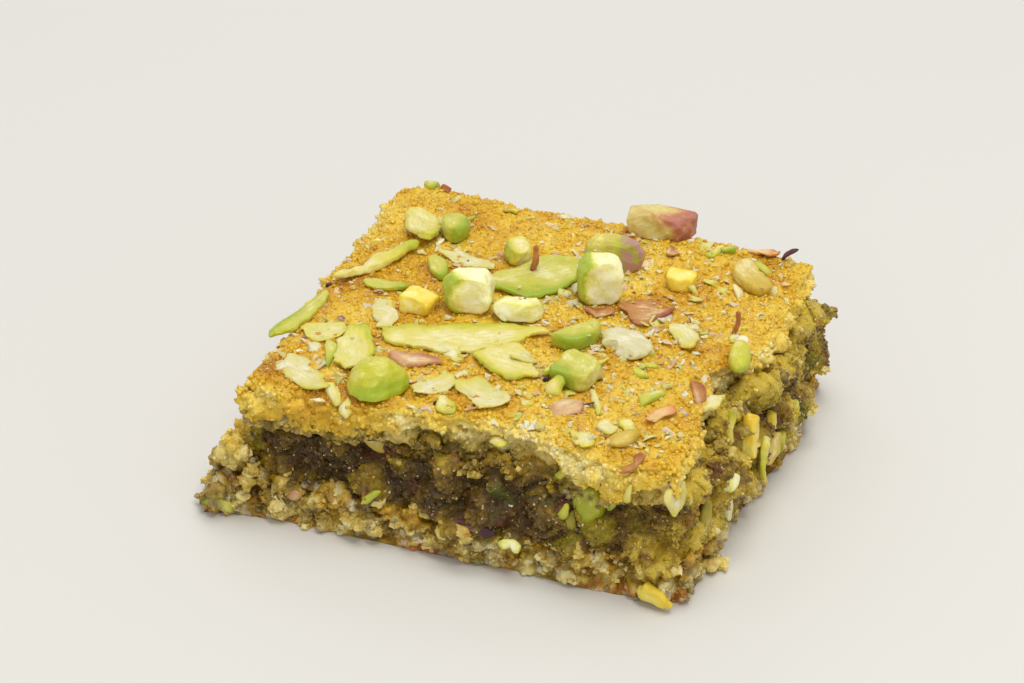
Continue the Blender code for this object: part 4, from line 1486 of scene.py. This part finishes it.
class MAAMOUL_OT_shreds(bpy.types.Operator):
    """Strew the tiny shreds of nut on the top"""

    bl_idname = "maamoul.shreds"
    bl_label = "Shreds"

    def execute(self, context):
        rng = random.Random(SHRED_SEED)
        ground = tree_of("golden_crust")
        cover = tree_of("golden_crust", *NUT_PIECES.values())
        whole = bmesh.new()
        batch = bmesh.new()
        for number in range(context.scene.maamoul_nuts.shreds):
            x = rng.uniform(-22, 24)
            y = rng.uniform(-21, 22)
            if x < -4 and rng.random() < 0.7:
                x = rng.uniform(2, 24)
            if number % 3 == 0:
                # Crumbs that fell off the larger pieces lie close round them.
                low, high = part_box(rng.choice(tuple(NUT_LOOKS)))
                x = rng.uniform(low.x / MM - 1.5, high.x / MM + 1.5)
                y = rng.uniform(low.y / MM - 1.5, high.y / MM + 1.5)
            foot = surface_below(ground, x, y)
            if foot is None or foot.z < 14:
                continue
            top = surface_below(cover, x, y)
            length = 0.4 + 1.5 * rng.random() ** 2
            if top.z > foot.z + 0.25:
                # Few shreds stay on a nut, and only small ones.
                if rng.random() < 0.85:
                    continue
                foot = top
                length = 0.5
            width = length * rng.uniform(0.25, 0.8)
            stretch = Matrix.Diagonal((length / 2, width / 2, rng.uniform(0.07, 0.16), 1.0))
            turn = (Matrix.Translation(foot + UP * 0.08)
                    @ Matrix.Rotation(rng.uniform(0, math.tau), 4, "Z")
                    @ Matrix.Rotation(rng.uniform(-0.5, 0.5), 4, "Y"))
            made = bmesh.ops.create_icosphere(
                batch, subdivisions=2, radius=1.0, matrix=turn @ stretch)["verts"]
            index = FINISH_ORDER.index(rng.choice(SHRED_FINISHES))
            for vert in made:
                vert.co += 0.35 * length * noise.noise_vector(vert.co * 2.0 / length)
                for face in vert.link_faces:
                    face.material_index = index
            if number % BATCH == 0:
                join(whole, batch)
                batch = bmesh.new()
        join(whole, batch)
        shreds = add_piece("nut_shreds", whole, nut_materials())
        shreds.data.shade_flat()
        return {"FINISHED"}


def add_floor(colour):
    """Lay the floor: white paper, matt, with the faintest cloudiness."""
    bm = bmesh.new()
    bmesh.ops.create_grid(bm, x_segments=2, y_segments=2, size=3.0)
    mesh = bpy.data.meshes.new("floor")
    bm.to_mesh(mesh)
    bm.free()
    floor = bpy.data.objects.new("floor", mesh)
    bpy.context.scene.collection.objects.link(floor)
    material, tree, place = new_material("matt white paper")
    cloud = add_node(tree, "TexNoise", {}, {"Vector": place, "Scale": 12.0, "Detail": 2.0})
    shaded = tuple(0.985 * value for value in colour[:3]) + (1.0,)
    tint = add_mix(tree, cloud.outputs["Fac"], tuple(colour), shaded)
    add_surface(tree, Base_Color=tint, Roughness=0.8, Specular_IOR_Level=0.2)
    mesh.materials.append(material)


def add_lights(strength):
    """Light the slice from a pale room and from the lamps, which all look at the origin."""
    world = bpy.data.worlds.new("pale room")
    bpy.context.scene.world = world
    world.use_nodes = True
    background = world.node_tree.nodes["Background"].inputs
    background["Color"].default_value = ROOM_COLOUR
    background["Strength"].default_value = ROOM_LIGHT * strength
    for name, place, size, power in LIGHTS:
        data = bpy.data.lights.new(name, "AREA")
        data.size = size
        data.energy = power * strength
        data.color = LAMP_COLOUR
        lamp = bpy.data.objects.new(name, data)
        facing = Vector(place).to_track_quat("Z", "Y").to_matrix().to_4x4()
        lamp.matrix_world = Matrix.Translation(place) @ facing
        bpy.context.scene.collection.objects.link(lamp)


def add_camera(distance):
    """Set up the camera, distance metres from the point that it looks at."""
    azimuth, elevation, roll = (math.radians(angle) for angle in CAMERA_ANGLES)
    back = Vector((math.sin(azimuth) * math.cos(elevation),
                   -math.cos(azimuth) * math.cos(elevation), math.sin(elevation)))
    right = Vector((math.cos(azimuth), math.sin(azimuth), 0.0))
    up = back.cross(right)
    turned = right * math.cos(roll) + up * math.sin(roll)
    above = up * math.cos(roll) - right * math.sin(roll)
    data = bpy.data.cameras.new("camera")
    data.lens = CAMERA_LENS
    data.sensor_width = 36
    data.clip_start = 0.01
    camera = bpy.data.objects.new("camera", data)
    camera.matrix_world = axes_matrix((turned, above, back), CAMERA_TARGET + back * distance)
    bpy.context.scene.collection.objects.link(camera)
    bpy.context.scene.camera = camera


class MAAMOUL_OT_stage(bpy.types.Operator):
    """Set up the floor, the lights and the camera"""

    bl_idname = "maamoul.stage"
    bl_label = "Stage"

    def execute(self, context):
        settings = context.scene.maamoul_stage
        add_floor(settings.floor)
        add_lights(settings.light)
        add_camera(settings.distance)
        context.scene.view_settings.view_transform = "Standard"
        return {"FINISHED"}


class MAAMOUL_PT_panel(bpy.types.Panel):
    """Lists the settings and the steps that build the slice"""

    bl_idname = "MAAMOUL_PT_panel"
    bl_label = "Maamoul Slice"
    bl_space_type = "VIEW_3D"
    bl_region_type = "UI"
    bl_category = "Maamoul"

    def draw(self, context):
        for group in ("maamoul_crust", "maamoul_filling", "maamoul_nuts", "maamoul_stage"):
            settings = getattr(context.scene, group)
            box = self.layout.box()
            for name in settings.__annotations__:
                box.prop(settings, name)
        for operator in OPERATORS:
            self.layout.operator(operator.bl_idname)


GROUPS = {
    "maamoul_crust": CrustSettings,
    "maamoul_filling": FillingSettings,
    "maamoul_nuts": NutSettings,
    "maamoul_stage": StageSettings,
}
OPERATORS = (
    MAAMOUL_OT_layers, MAAMOUL_OT_broken_lump, MAAMOUL_OT_nuts, MAAMOUL_OT_top_bits,
    MAAMOUL_OT_side_bits, MAAMOUL_OT_clusters, MAAMOUL_OT_grains, MAAMOUL_OT_swollen_grains,
    MAAMOUL_OT_shreds, MAAMOUL_OT_stage,
)


def register():
    """Register the classes and hang the settings on the scene."""
    for kind in (*GROUPS.values(), *OPERATORS, MAAMOUL_PT_panel):
        bpy.utils.register_class(kind)
    for name, kind in GROUPS.items():
        setattr(bpy.types.Scene, name, PointerProperty(type=kind))


def unregister():
    """Take the settings and the classes away again."""
    for name in GROUPS:
        delattr(bpy.types.Scene, name)
    for kind in (MAAMOUL_PT_panel, *reversed(OPERATORS), *GROUPS.values()):
        bpy.utils.unregister_class(kind)


def main():
    """Build every piece in order."""
    register()
    for operator in OPERATORS:
        step = operator.bl_idname.split(".")[1]
        getattr(bpy.ops.maamoul, step)()


if __name__ == "__main__":
    main()
